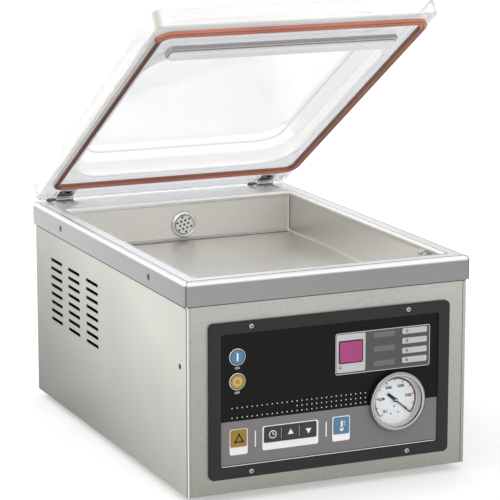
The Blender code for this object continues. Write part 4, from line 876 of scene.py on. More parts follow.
def spun(bm, profile, place=Matrix.Identity(4), steps=64, closed=False):
    """A turned shape: (radius, height) points spun about their own Z."""
    verts = [bm.verts.new((radius, 0, height)) for radius, height in profile]
    pairs = list(zip(verts, verts[1:]))
    if closed:
        pairs.append((verts[-1], verts[0]))
    edges = [bm.edges.new(pair) for pair in pairs]
    before = set(bm.verts) - set(verts)
    bmesh.ops.spin(
        bm, geom=verts + edges, cent=(0, 0, 0), axis=(0, 0, 1), angle=2 * math.pi, steps=steps, use_merge=True
    )
    added = [vert for vert in bm.verts if vert not in before]
    bmesh.ops.remove_doubles(bm, verts=added, dist=MERGE)
    added = [vert for vert in bm.verts if vert not in before]
    bmesh.ops.transform(bm, matrix=place, verts=added)


def wire(bm, points, radius, sides=10):
    """A round bar along a route: a circle carried from point to point."""
    points = [Vector(point) for point in points]
    ring = bmesh.ops.create_circle(bm, cap_ends=True, segments=sides, radius=radius)["verts"]
    ahead = (points[1] - points[0]).normalized()
    turn = Vector((0, 0, 1)).rotation_difference(ahead)
    bmesh.ops.transform(bm, matrix=Matrix.Translation(points[0]) @ turn.to_matrix().to_4x4(), verts=ring)
    rim = edges_within(ring)
    for i in range(1, len(points)):
        loop, rim = extruded(bm, rim)
        following = points[min(i + 1, len(points) - 1)] - points[i - 1]
        turn = ahead.rotation_difference(following.normalized()).to_matrix().to_4x4()
        ahead = following.normalized()
        move = Matrix.Translation(points[i]) @ turn @ Matrix.Translation(-points[i - 1])
        bmesh.ops.transform(bm, matrix=move, verts=loop)
    bmesh.ops.edgeloop_fill(bm, edges=rim)


def plate(bm, width, height, corner, place, thick=INK, lift=0.0, segments=5):
    """A thin printed or moulded patch on a face."""
    low = section(width, height, corner, lift)
    lofted(bm, [low, grown(low, 0, lift + thick)], place, segments)


def thin_line(bm, width, height, place, thick=SHADOW_T, corner=LINE_CORNER):
    """A plain narrow strip on a sheet."""
    plate(bm, width, height, corner, place, thick, segments=1)


def frame_line(bm, width, height, corner, line, place):
    """A thin printed outline."""
    outer = section(width, height, corner, 0)
    loops = [outer, grown(outer, 0, INK), grown(outer, -line, INK), grown(outer, -line, 0), outer]
    lofted(bm, loops, place, 5, closed=True)


def round_line(bm, outer, inner, place, thick=INK, lift=0.0, steps=48):
    profile = [(inner, lift + thick), (outer, lift + thick), (outer, lift), (inner, lift)]
    spun(bm, profile, place, steps, closed=True)


def dot(bm, radius, place, thick=INK, lift=0.0, steps=16):
    spun(bm, [(0, lift + thick), (radius, lift + thick), (radius, lift), (0, lift)], place, steps)


def triangle(bm, reach, place):
    """A solid three-cornered mark that points up."""
    made = bmesh.ops.create_cone(
        bm, cap_ends=True, cap_tris=False, segments=3, radius1=reach, radius2=reach, depth=INK
    )["verts"]
    bmesh.ops.transform(bm, matrix=place @ at(0, 0, INK / 2), verts=made)


def arc_line(bm, radius, line, start, end, place, thick, steps=40):
    """A curved stripe: a small section spun through part of a turn, ends closed."""
    before = set(bm.verts)
    spots = [(radius, 0), (radius + line, 0), (radius + line, thick), (radius, thick)]
    verts = [bm.verts.new((r, 0, z)) for r, z in spots]
    face = bm.faces.new(verts)
    geom = [face, *verts, *face.edges]
    bmesh.ops.rotate(bm, cent=(0, 0, 0), matrix=Matrix.Rotation(start, 3, "Z"), verts=verts)
    bmesh.ops.spin(
        bm, geom=geom, cent=(0, 0, 0), axis=(0, 0, 1), angle=end - start, steps=steps, use_merge=False
    )
    added = [vert for vert in bm.verts if vert not in before]
    bmesh.ops.transform(bm, matrix=place, verts=added)


def words(bm, text, size, place, thick=INK, bold=0.0):
    """Lettering made a solid mesh, centred on its place."""
    curve = bpy.data.curves.new("lettering", "FONT")
    curve.body = text
    curve.size = size
    curve.align_x = "CENTER"
    curve.align_y = "CENTER"
    curve.extrude = thick / 2
    curve.offset = bold
    curve.resolution_u = 3
    obj = bpy.data.objects.new("lettering", curve)
    bpy.context.scene.collection.objects.link(obj)
    bpy.context.view_layer.update()
    mesh = bpy.data.meshes.new_from_object(obj.evaluated_get(bpy.context.evaluated_depsgraph_get()))
    bpy.data.objects.remove(obj)
    bpy.data.curves.remove(curve)
    mesh.transform(place @ at(0, 0, thick / 2))
    bm.from_mesh(mesh)
    bpy.data.meshes.remove(mesh)


# Cabinet pieces
def blended(low, high, share):
    share = min(max(share, 0.0), 1.0)
    return low + (high - low) * share


# The rim's painted light and shade by row, from its skirt's foot over the shoulder and the flat top to the
# mouth's roll
FRONT_SKIRT_SHADE = (0.30, 0.255)
SIDE_SKIRT_SHADE = (0.335, 0.43)
SKIRT_TOP_HIGHLIGHT = (0.9, 0.4)
SHOULDER_HIGHLIGHTS = (0.97, 0.98, 0.98, 0.98, 0.98, 0.95, 0.50)
FRONT_FLAT_LIGHT = (0.96, 0.68)
BACK_FLAT_LIGHT = (0.96, 0.92)
FLAT_METAL = (0.9, 0.2)
FLAT_ROWS = (10, 11)
SEAM_TONE = 0.36
ROLL_ROWS = range(13, 21)
ROLL_FOOT = (19, 20)
ROLL_HIGHLIGHT = 0.97
ROLL_METAL = 0.15
CREAM_ROLL_HIGHLIGHT = (0.99, 0.985, 0.955, 0.0)
WALL_TONE = (0.57, 0.55, 0.505, ROLL_METAL)
COOL = 1.005


def rim_painted_light(count, spot):
    """Painted light: a bright flat top and shoulder, skirts painted darker by the side they face, and a
    painted highlight on the mouth's roll, cream at the right; alpha is how metallic.
    """
    if count in ROLL_ROWS:
        if count in ROLL_FOOT and spot.x > MOUTH_W / 2 - MOUTH_CORNER:
            return WALL_TONE
        if count not in ROLL_FOOT and spot.x > 0:
            return CREAM_ROLL_HIGHLIGHT
        return ROLL_HIGHLIGHT, ROLL_HIGHLIGHT, ROLL_HIGHLIGHT * COOL, ROLL_METAL
    across = spot.x / RIM_W + 0.5
    along = spot.y / RIM_D + 0.5
    flat = blended(blended(*FRONT_FLAT_LIGHT, across), blended(*BACK_FLAT_LIGHT, across), along)
    front = RIM_D / 2 + spot.y < RIM_CORNER / 3
    skirt = blended(*FRONT_SKIRT_SHADE, across) if front else blended(*SIDE_SKIRT_SHADE, along)
    tones = [skirt, skirt, blended(skirt, *SKIRT_TOP_HIGHLIGHT), *SHOULDER_HIGHLIGHTS, flat, flat, SEAM_TONE]
    tone = tones[count] if count < len(tones) else skirt
    metal = blended(*FLAT_METAL, 4 * along - 3) if count in FLAT_ROWS else 1.0
    return tone, tone, tone * COOL, metal


def top_rim():
    outer = section(RIM_W, RIM_D, RIM_CORNER, Z_SKIRT)
    mouth = section(MOUTH_W, MOUTH_Y1 - MOUTH_Y0, MOUTH_CORNER, Z_RIM, y=(MOUTH_Y0 + MOUTH_Y1) / 2)
    loops = [outer]
    loops += [grown(outer, -inset, Z_RIM - RIM_FILLET + rise) for inset, rise in quarter(RIM_FILLET, 8)]
    loops += [grown(outer, -RIM_FILLET - SHOULDER_LINE, Z_RIM)]
    seam = MOUTH_ROLL + MOUTH_SEAM
    loops += [grown(mouth, seam + MOUTH_SEAM, Z_RIM), grown(mouth, seam, Z_RIM - MOUTH_SEAM)]
    for inset, rise in reversed(quarter(MOUTH_ROLL)):
        loops.append(grown(mouth, inset, Z_RIM - MOUTH_ROLL + rise))
    loops += [
        grown(mouth, 0, Z_RIM - MOUTH_DROP),
        grown(mouth, RIM_SHEET, Z_RIM - MOUTH_DROP),
        grown(mouth, RIM_SHEET + MOUTH_ROLL / 2, Z_RIM - RIM_SHEET),
        grown(outer, -RIM_FILLET, Z_RIM - RIM_SHEET),
        grown(outer, -RIM_SHEET, Z_RIM - RIM_FILLET),
        grown(outer, -RIM_SHEET, Z_SKIRT),
        outer,
    ]
    # Each row carries the rim's painted light and shade as its tint
    bm = light_painted_loft(loops, rim_painted_light, closed=True)
    piece("rim", bm, RIM_PAINTED_LIGHT_STEEL, "cabinet", ["top_frame"])


def skirt_shadow():
    """Painted shadow: dark strips at the joints under the rim's skirt, and down the side panels by the front
    sheet's folds, where the joints lie in shade.
    """
    bm = bmesh.new()
    spot = at(0, FRONT_Y, Z_SKIRT - JOINT_SHADOW_H / 2, FRONTWARD)
    thin_line(bm, 2 * BODY_SIDE - JOINT_SHADOW_SHORT, JOINT_SHADOW_H, spot)
    for side, turn in SIDES:
        spot = at(side * BODY_SIDE, 0, Z_SKIRT - SIDE_JOINT_SHADOW_H / 2, turn)
        thin_line(bm, BACK_Y - FRONT_Y - SIDE_JOINT_SHADOW_SHORT, SIDE_JOINT_SHADOW_H, spot)
    for side, turn in SIDES:
        spot = at(side * BODY_SIDE, FRONT_Y + FOLD_SHADOW_IN, Z_BASE + FOLD_H / 2, turn)
        thin_line(bm, FOLD_SHADOW_W, FOLD_H, spot, corner=FOLD_CORNER)
    piece("skirt_shadow", bm, WELD_AND_SHADE, "cabinet")


def front_folds():
    """The front sheet's folded edges, and a painted highlight: a white line along the left one."""
    sheet = bmesh.new()
    for side in (-1, 1):
        spot = at(side * (BODY_SIDE - FOLD_IN), FRONT_Y, Z_BASE + FOLD_H / 2, FRONTWARD)
        thin_line(sheet, FOLD_W, FOLD_H, spot, FOLD_T, FOLD_CORNER)
    piece("front_folds", sheet, FRONT_STEEL, "cabinet")
    # Painted highlight: a white line along the left fold
    edge = bmesh.new()
    spot = at(-BODY_SIDE + FOLD_HIGHLIGHT_IN, FRONT_Y, Z_BASE + FOLD_H / 2, FRONTWARD)
    thin_line(edge, FOLD_HIGHLIGHT_W, FOLD_H, spot, INK, FOLD_CORNER)
    piece("fold_edge_highlight", edge, KEY_RING_AND_HIGHLIGHT, "cabinet")


def rim_seams():
    """The closed joints at the rim's corners, and the welds in the chamber's corners and along its back."""
    seams = bmesh.new()
    rise = [(0, Z_SKIRT)] + [(inset, Z_RIM - RIM_FILLET + up) for inset, up in quarter(RIM_FILLET, 8)]
    for x in (-1, 1):
        for y in (-1, 1):
            route = []
            for inset, up in rise:
                reach = (RIM_CORNER - inset) * math.sqrt(0.5)
                route.append((x * (RIM_W / 2 - RIM_CORNER + reach), y * (RIM_D / 2 - RIM_CORNER + reach), up))
            wire(seams, route, SEAM_R, WELD_SIDES)
    bend = MOUTH_CORNER * (1 - math.sqrt(0.5))
    for x in (-MOUTH_W / 2 + bend, MOUTH_W / 2 - bend):
        for y in (MOUTH_Y0 + bend, MOUTH_Y1 - bend):
            route = [(x, y, TUB_FLOOR_Z + TUB_ROUND / 2), (x, y, Z_RIM - MOUTH_DROP)]
            wire(seams, route, WELD_R, WELD_SIDES)
    joint = (MOUTH_Y1 - TUB_ROUND, TUB_FLOOR_Z + FOOT_WELD_RISE)
    ends = [(-MOUTH_W / 2 + TUB_ROUND, *joint), (MOUTH_W / 2 - TUB_ROUND, *joint)]
    wire(seams, ends, FOOT_WELD_R, WELD_SIDES)
    piece("seams", seams, WELD_AND_SHADE, "cabinet")


def wall_foot_shade():
    """A dull strip of painted shade in the bend between the chamber's back wall and its floor."""
    bm = bmesh.new()
    half = TUB_ROUND / 2
    spot = at(0, MOUTH_Y1 - half, TUB_FLOOR_Z + half, Matrix.Rotation(math.pi / 4, 4, "X"))
    thin_line(bm, MOUTH_W - 2 * TUB_ROUND, TUB_ROUND * math.sqrt(2), spot, INK, half / 4)
    piece("wall_foot_shade", bm, BEND_SHADE_STEEL, "cabinet")


def rim_lines():
    """Thin creases in the flat top, by the mouth's roll and by the shoulder."""
    bm = bmesh.new()
    inner = MOUTH_ROLL + MOUTH_SEAM
    outer = RIM_FILLET + CREASE_ACROSS
    wide = MOUTH_W + 2 * inner
    deep = MOUTH_Y1 - MOUTH_Y0 + 2 * inner
    runs = [
        (0, MOUTH_Y0 - inner - CREASE_ALONG / 2, wide, CREASE_ALONG),
        (0, MOUTH_Y1 + inner, wide, CREASE_ACROSS),
        (0, -RIM_D / 2 + outer + CREASE_ALONG / 2, RIM_W - 2 * outer, CREASE_ALONG),
    ]
    for side in (-1, 1):
        runs.append((side * (MOUTH_W / 2 + inner), (MOUTH_Y0 + MOUTH_Y1) / 2, CREASE_ACROSS, deep))
        runs.append((side * (RIM_W / 2 - outer), 0, CREASE_ACROSS, RIM_D - 2 * outer))
    for x, y, width, length in runs:
        thin_line(bm, width, length, at(x, y, Z_RIM), CREASE_T, CREASE_ACROSS / 3)
    piece("rim_lines", bm, WELD_AND_SHADE, "cabinet")


def screw_head(bm, place, radius, high):
    """A low domed head."""
    spun(bm, [(radius * out, high * up) for out, up in SCREW_DOME], place, SCREW_STEPS)


def screw_cross(bm, place, radius, high):
    """The cross recess, drawn as two dark bars of painted shade on the head's crown."""
    for turn in (0, math.pi / 2):
        turned_bar = place @ Matrix.Rotation(turn, 4, "Z")
        plate(bm, *scaled(SCREW_BAR, radius), turned_bar, SHADOW_T, high * SCREW_CROWN, 2)


def screws(name, places, radius, high, finish, body="cabinet"):
    """Cross-head screws, each in a thin dark ring of painted shadow."""
    heads = bmesh.new()
    dark = bmesh.new()
    for place in places:
        screw_head(heads, place, radius, high)
        screw_cross(dark, place, radius, high)
        # Painted shadow: a thin dark ring round each head
        round_line(dark, *scaled(SCREW_RING, radius), place, SHADOW_T, steps=SCREW_STEPS)
    piece(name, heads, finish, body)
    piece(name + "_shadow", dark, BLACK_INK_AND_SHADE, body)


def cabinet_screws():
    flush = []
    sides = []
    for side, turn in SIDES:
        for y in (-RIM_SCREW_Y, RIM_SCREW_Y):
            flush.append(at(side * RIM_W / 2, y, Z_RIM - RIM_SCREW_DROP, turn))
        sides.append(at(side * BODY_SIDE, SIDE_SCREW_Y, Z_BASE + SIDE_SCREW_UP, turn))
    spots = [(x, up) for x in (-BACK_SCREW_X, BACK_SCREW_X) for up in BACK_SCREW_UPS]
    back = [at(x, BACK_Y, Z_BASE + up, BACKWARD) for x, up in spots]
    screws("rim_screws", flush, *RIM_SCREW, DARK_STEEL)
    screws("side_screws", sides, *SIDE_SCREW, DARK_STEEL)
    screws("back_screws", back, *BACK_SCREW, SCREW_STEEL)


# Chamber pieces
def grille_hole_shade():
    """Painted shade: dark bottoms of the suction grille's honeycomb of holes, and shade painted in its dish
    and round it.
    """
    centre = middle("suction_grille")
    face = at(centre.x, MOUTH_Y1 - GRILLE_FACE, centre.z, FRONTWARD)
    spots = [(0, 0)]
    for step in range(12):
        reach = GRILLE_HOLE_PITCH * (1 if step % 2 == 0 else math.sqrt(3))
        angle = GRILLE_TURN + math.radians(30 * step)
        spots.append((reach * math.cos(angle), reach * math.sin(angle)))
    bm = bmesh.new()
    for x, y in spots:
        dot(bm, GRILLE_HOLE_R, face @ at(x, y, 0), GRILLE_FILM, GRILLE_FILM / 2)
    piece("grille_hole_shade", bm, BLACK_INK_AND_SHADE, "cabinet")
    shade = bmesh.new()
    round_line(shade, GRILLE_DISH_R, GRILLE_DISH_R - GRILLE_LINE, face, GRILLE_FILM)
    inner = GRILLE_DISH_R - GRILLE_SHADE_W
    arc_line(shade, inner, GRILLE_SHADE_W, GRILLE_SHADE_FROM, GRILLE_SHADE_TO, face, SHADOW_T)
    reach = span("suction_grille").x / 2
    round_line(shade, reach + GRILLE_LINE, reach, at(centre.x, MOUTH_Y1, centre.z, FRONTWARD), SHADOW_T)
    piece("grille_shade", shade, WELD_AND_SHADE, "cabinet")


def wire_clip():
    """The spring loop at the seal bar's right end that holds its wire taut."""
    bar = middle("seal_bar")
    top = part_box("seal_wire")[0].z - SEAT
    loop = section(2 * CLIP_R, CLIP_H, CLIP_R, -CLIP_W / 2)
    loops = [loop, grown(loop, 0, CLIP_W / 2)]
    loops += [grown(loop, -CLIP_T, CLIP_W / 2), grown(loop, -CLIP_T, -CLIP_W / 2), loop]
    bm = bmesh.new()
    spot = at(SEAL_END + CLIP_GAP + CLIP_R, bar.y, top + CLIP_RISE - CLIP_H / 2, FRONTWARD)
    lofted(bm, loops, spot, 8, closed=True)
    low = top - CLIP_LUG_LOW
    lug = section(CLIP_GAP + CLIP_T, CLIP_W / 2, CLIP_T / 2, low, SEAL_END + CLIP_GAP / 2, bar.y)
    lofted(bm, [lug, grown(lug, 0, top - CLIP_LUG_TOP)], segments=3)
    piece("wire_clip", bm, CHROME, "seal_bar")


# Lid pieces
def clear_lid():
    """A slab with a sloping recess below and a low dome above, all their bends eased."""
    slab = section(LID_W, LID_REAR - LID_Y0, LID_CORNER, LID_UNDER, y=(LID_REAR + LID_Y0) / 2)
    mouth = section(RECESS_W, RECESS_Y1 - RECESS_Y0, RECESS_CORNER, LID_UNDER, y=(RECESS_Y0 + RECESS_Y1) / 2)
    top = LID_UNDER + LID_T
    ceiling = LID_UNDER + RECESS_DEPTH
    soft = RECESS_DEPTH / 6
    loops = [grown(mouth, -RECESS_SLOPE - inset * soft, ceiling - drop * soft) for inset, drop in RECESS_TOP]
    loops += [grown(mouth, -inset * soft, LID_UNDER + rise * soft) for inset, rise in RECESS_FOOT]
    edge = quarter(LID_EDGE, 5)
    loops += [grown(slab, -inset, LID_UNDER + LID_EDGE - rise) for inset, rise in reversed(edge)]
    loops += [grown(slab, -inset, top - LID_EDGE + rise) for inset, rise in edge]
    loops += [
        grown(mouth, DOME_WALL, top),
        grown(mouth, 0.6 * DOME_WALL, top + 0.3 * DOME_H / 8),
        grown(mouth, DOME_WALL / 4, top + DOME_H / 8),
        grown(mouth, -RECESS_SLOPE / 3, top + DOME_H - 1.5 * soft),
        grown(mouth, -RECESS_SLOPE / 2.4, top + DOME_H - 0.8 * soft),
        grown(mouth, -RECESS_SLOPE / 2 - 0.3 * soft, top + DOME_H - 0.25 * soft),
        grown(mouth, -RECESS_SLOPE / 2 - soft, top + DOME_H),
    ]
    # Painted light: each row carries a tint and alpha that stand in for refraction, reflection and shade
    bm = light_painted_loft(loops, lid_painted_light, 12)
    bmesh.ops.transform(bm, matrix=OPENED, verts=bm.verts)
    piece("clear_lid", bm, ACRYLIC, "lid", ["lid_shell"], LID_SHARP)


# Painted light of the clear lid by kind of row: colour and alpha
LID_PAINTED_LIGHT = {
    "ceiling": (0.7, 0.75, 0.83, 0.48),
    "dome": (0.74, 0.77, 0.82, 0.42),
    "outline": (0.352, 0.334, 0.317, 0.80),
    "slope": (0.78, 0.756, 0.714, 0.55),
    "under": (0.37, 0.395, 0.43, 0.8),
    "lower_edge": (0.554, 0.487, 0.41, 0.7),
    "side": (0.78, 0.77, 0.74, 0.48),
    "corner": (0.353, 0.294, 0.21, 0.85),
    "upper_edge": (0.67, 0.63, 0.57, 0.6),
    "top": (0.985, 0.99, 1.0, 0.25),
}
CORNER_START = 0.25
LID_ROWS = ["ceiling", "ceiling", "outline", "slope", "slope", "slope", "slope", "under", "under"]
LID_ROWS += ["under", "under", "lower_edge", "lower_edge", "side", "side", "side", "side"]
LID_ROWS += ["upper_edge", "upper_edge", "top", "top", "top", "dome", "dome", "dome", "dome", "dome"]


def lid_painted_light(count, spot):
    """Painted light: tan where light gathers in the slab's corners and edges, painted grey shade under it and
    cream on the recess's slopes.
    """
    name = LID_ROWS[count] if count < len(LID_ROWS) else "top"
    base = LID_PAINTED_LIGHT[name]
    if name not in ("side", "upper_edge", "lower_edge"):
        return base
    centre_x = math.copysign(LID_W / 2 - LID_CORNER, spot.x)
    middle_y = (LID_REAR + LID_Y0) / 2
    centre_y = middle_y + math.copysign((LID_REAR - LID_Y0) / 2 - LID_CORNER, spot.y - middle_y)
    way = (spot.xy - Vector((centre_x, centre_y))).normalized()
    share = max(2 * abs(way.x * way.y) - CORNER_START, 0) / (1 - CORNER_START)
    return tuple(blended(plain, tan, share) for plain, tan in zip(base, LID_PAINTED_LIGHT["corner"]))


def gasket():
    """Silicone seal with two round lips and a groove between them."""
    core = section(GASKET_W, GASKET_Y1 - GASKET_Y0, GASKET_CORNER, 0, y=(GASKET_Y0 + GASKET_Y1) / 2)
    half = GASKET_BAND / 2
    high = LID_UNDER - SEAT
    low = GASKET_LOW
    lip = half / 2
    profile = [(-half, high)]
    for side in (-1, 1):
        for step in range(7):
            angle = math.pi * step / 6
            profile.append((side * lip - lip * math.cos(angle), low + lip - lip * math.sin(angle)))
        if side < 0:
            profile[-1] = (0, low + GASKET_GROOVE)
    profile.append((half, high))
    loops = [grown(core, -inset, height) for inset, height in profile]
    # Painted light: the rows carry painted highlights and shade
    bm = light_painted_loft(loops + loops[:1], gasket_painted_light, 10, closed=True)
    bmesh.ops.transform(bm, matrix=OPENED, verts=bm.verts)
    piece("gasket", bm, LIP_SILICONE_PAINTED_LIGHT, "lid", ["lid_gasket"], ROUND_SHARP)


GASKET_FRONT_SHADES = (1.3, 1.4, 0.5, 1.0, 1.5, 1.5, 1.2, 0.6, 0.3, 0.6, 1.1, 1.4, 1.4, 1.0, 0.6, 0.9)
GASKET_SHADES = (0.9, 0.55, 0.45, 0.8, 1.2, 1.25, 0.9, 0.5, 0.3, 0.5, 0.9, 1.2, 1.2, 0.8, 0.5, 0.9)
GASKET_RED = (0.47, 0.164, 0.109)
GASKET_PAINTED_SHEEN = (0.49, 0.445, 0.42, 1.0)
PAINTED_SHEEN_ROWS = (0, 1, 2, 14, 15)
LEFT_SHADE = 0.32
RIGHT_SHADE = 0.62


def gasket_painted_light(count, spot):
    """Painted light: each lip has a painted highlight along its crown and painted shade in its folds; the
    side runs are painted in shade, the left one with a pale painted sheen on its edge rows.
    """
    shades = GASKET_FRONT_SHADES if spot.y < GASKET_Y0 + GASKET_BAND else GASKET_SHADES
    row = count % len(shades)
    share = shades[row]
    behind_corner = spot.y > GASKET_Y0 + GASKET_CORNER
    if behind_corner and spot.x < -GASKET_W / 2 + GASKET_BAND:
        if row in PAINTED_SHEEN_ROWS:
            return GASKET_PAINTED_SHEEN
        share *= LEFT_SHADE
    elif behind_corner and spot.x > GASKET_W / 2 - GASKET_BAND:
        share *= RIGHT_SHADE
    return *scaled(GASKET_RED, share), 1.0


def counter_bar():
    """The alloy bar that the seal bar presses on, and the round-backed strip along it."""
    high = LID_UNDER - SEAT
    low = high - BAR_H
    base = section(BAR_L, BAR_W, BAR_W / 4, high, y=BAR_Y)
    edge = quarter(BAR_H / 4, 4)
    loops = [base] + [grown(base, -inset, low + BAR_H / 4 - rise) for inset, rise in edge]
    bm = bmesh.new()
    lofted(bm, loops, OPENED)
    piece("counter_bar", bm, BAR_ALLOY_AND_REFLECTION, "lid", ["pressure_bar"])
    strip = section(BAR_L - BAR_W / 4, STRIP_W, STRIP_W / 4, low - SEAT, y=BAR_Y)
    bottom = low - SEAT - STRIP_H
    edge = quarter(STRIP_H / 2, 6)
    loops = [strip] + [grown(strip, -inset, bottom + STRIP_H / 2 - rise) for inset, rise in edge]
    bm = bmesh.new()
    lofted(bm, loops, OPENED)
    piece("counter_strip", bm, WHITE_SILICONE, "lid", ["pressure_strip"], ROUND_SHARP)


# Hinges
def leaf(name, x, side, place, body, node, finish):
    """A leaf rolled round the pin. side is -1 on the rim and +1 on the lid."""
    rise = side * (KNUCKLE_R - LEAF_T / 2)
    clear_of = KNUCKLE_R + 2 * SEAT
    length = LEAF_LENGTH - clear_of
    bore = PIN_R + PIN_PLAY
    outer = (HINGE_W - MIDDLE_KNUCKLE) / 2 - SEAT
    shift = (HINGE_W - outer) / 2
    rolls = [(x, MIDDLE_KNUCKLE)] if side > 0 else [(x - shift, outer), (x + shift, outer)]
    bm = bmesh.new()
    low = section(HINGE_W, length, LEAF_T, rise - LEAF_T / 2, x, -clear_of - length / 2)
    brink = LEAF_T / 5
    loops = [grown(low, -brink, low[3]), grown(low, 0, low[3] + brink)]
    loops += [grown(low, 0, low[3] + LEAF_T - brink), grown(low, -brink, low[3] + LEAF_T)]
    lofted(bm, loops, place)
    reach = clear_of - PIN_R - SEAT + LEAF_T
    for at_x, width in rolls:
        tongue = section(width, reach, LEAF_T / 8, rise - LEAF_T / 2, at_x, -PIN_R - SEAT - reach / 2)
        lofted(bm, [tongue, grown(tongue, 0, rise + LEAF_T / 2)], place, 2)
    piece(name, bm, finish, body, [node])
    bm = bmesh.new()
    brink = LEAF_T / 6
    for at_x, width in rolls:
        half = width / 2
        tube = [(bore, half), (KNUCKLE_R - brink, half), (KNUCKLE_R, half - brink), (KNUCKLE_R, brink - half)]
        tube += [(KNUCKLE_R - brink, -half), (bore, -half)]
        spun(bm, tube, place @ at(at_x, 0, 0, ALONG_X), 32, closed=True)
    piece(name + "_knuckles", bm, CHROME, body)


def hinge_spring(name, x, node):
    """Torsion spring on the pin: a leg on the rim, the coil, and a leg along the open lid."""
    start = -math.pi / 2
    sweep = 2 * math.pi * SPRING_TURNS + math.pi - LID_OPEN
    left = x - HINGE_W / 2 - 2 * SPRING_PITCH - SPRING_TURNS * SPRING_PITCH - SPRING_PITCH / 2
    legs = range(SPRING_LEG_STEPS, 0, -1)
    route = [Vector((left, -SPRING_LEG * leg / SPRING_LEG_STEPS, -SPRING_COIL_R)) for leg in legs]
    for step in range(SPRING_STEPS + 1):
        angle = start + sweep * step / SPRING_STEPS
        along = left + SPRING_PITCH * sweep * step / SPRING_STEPS / (2 * math.pi)
        route.append(Vector((along, SPRING_COIL_R * math.cos(angle), SPRING_COIL_R * math.sin(angle))))
    ahead = Vector((0, -math.sin(angle), math.cos(angle)))
    root = route[-1]
    route += [root + ahead * SPRING_LEG * leg / SPRING_LEG_STEPS for leg in reversed(legs)]
    bm = bmesh.new()
    wire(bm, [AXIS + point for point in route], SPRING_WIRE_R)
    obj = piece(name, bm, SPRING_STEEL, None, [node], ROUND_SHARP)
    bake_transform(obj)


def hinges():
    still = Matrix.Translation(AXIS)
    face = KNUCKLE_R - LEAF_T
    for side, x in (("left", -HINGE_X), ("right", HINGE_X)):
        leaf(side + "_rim_leaf", x, -1, still, "cabinet", side + "_base_leaf", SILVER)
        leaf(side + "_top_leaf", x, 1, OPENED, "lid", side + "_lid_leaf", CHROME)
        # Painted reflection: a dark reddish-brown band under the lid leaf, where it would mirror the gasket
        band = bmesh.new()
        spot = OPENED @ at(x, LEAF_REFLECTION_Y, face, FACE_DOWN)
        plate(band, HINGE_W - LEAF_REFLECTION_SHORT, LEAF_REFLECTION_H, LEAF_REFLECTION_CORNER, spot, LEAF_FILM)
        piece(side + "_leaf_reflection", band, GASKET_REFLECTION_STEEL, "lid")
        foot = bmesh.new()
        spot = still @ at(x, -KNUCKLE_R - LEAF_SHADOW_GAP, -face)
        plate(foot, HINGE_W, LEAF_SHADOW_H, LEAF_SHADOW_CORNER, spot, LEAF_FILM)
        piece(side + "_leaf_shadow", foot, BLACK_INK_AND_SHADE, "cabinet")
        spots = [(x + across, -LEAF_SCREW_SHARE * LEAF_LENGTH) for across in (-HINGE_W / 4, HINGE_W / 4)]
        below = [still @ at(*spot, -face) for spot in spots]
        above = [OPENED @ at(*spot, face, FACE_DOWN) for spot in spots]
        screws(side + "_rim_leaf_screws", below, *LEAF_SCREW, SCREW_STEEL)
        screws(side + "_top_leaf_screws", above, *LEAF_SCREW, SCREW_STEEL, "lid")
        hinge_spring(side + "_spring", x, side + "_hinge_spring")


# Control panel
def panel_bezel():
    size = span("control_bezel")
    film = span("control_overlay")
    centre = middle("control_bezel")
    shift = middle("control_overlay") - centre
    outer = section(size.x, size.z, BEZEL_CORNER, 0)
    hole = section(film.x + 2 * SEAT, film.z + 2 * SEAT, OVERLAY_CORNER, 0, shift.x, shift.z)
    edge = quarter(BEZEL_T / 3, 4)
    top = BEZEL_T - BEZEL_T / 3
    loops = [outer] + [grown(outer, -inset, top + rise) for inset, rise in edge]
    loops += [grown(hole, inset, top + rise) for inset, rise in reversed(edge)]
    loops += [hole, outer]
    bm = bmesh.new()
    lofted(bm, loops, at(centre.x, FRONT_Y - SEAT, centre.z, FRONTWARD), 8, closed=True)
    piece("bezel", bm, CHARCOAL, "cabinet", ["control_bezel"])
    spots = [(x, up) for x in (-BEZEL_SCREW_X, BEZEL_SCREW_X) for up in BEZEL_SCREW_UPS]
    places = [at(x, FRONT_Y - SEAT - BEZEL_T, Z_BASE + up, FRONTWARD) for x, up in spots]
    screws("bezel_screws", places, *BEZEL_SCREW, SCREW_STEEL)


KEY_FINISH = {
    "on_key": (BLUE, "blue_key"),
    "off_key": (YELLOW, "yellow_key"),
    "stop_key": (AMBER, "amber_key"),
    "set_key": (DARK_KEY, "dark_key"),
    "up_key": (DARK_KEY, "dark_key"),
    "down_key": (DARK_KEY, "dark_key"),
    "temp_key": (BLUE, "blue_key"),
}
ROUND_KEYS = ("on_key", "off_key")


def on_key(name, out=0.0):
    """A key's own place on the overlay, facing the front."""
    centre = middle(name)
    return at(centre.x, FACE_Y - out, centre.z, FRONTWARD)


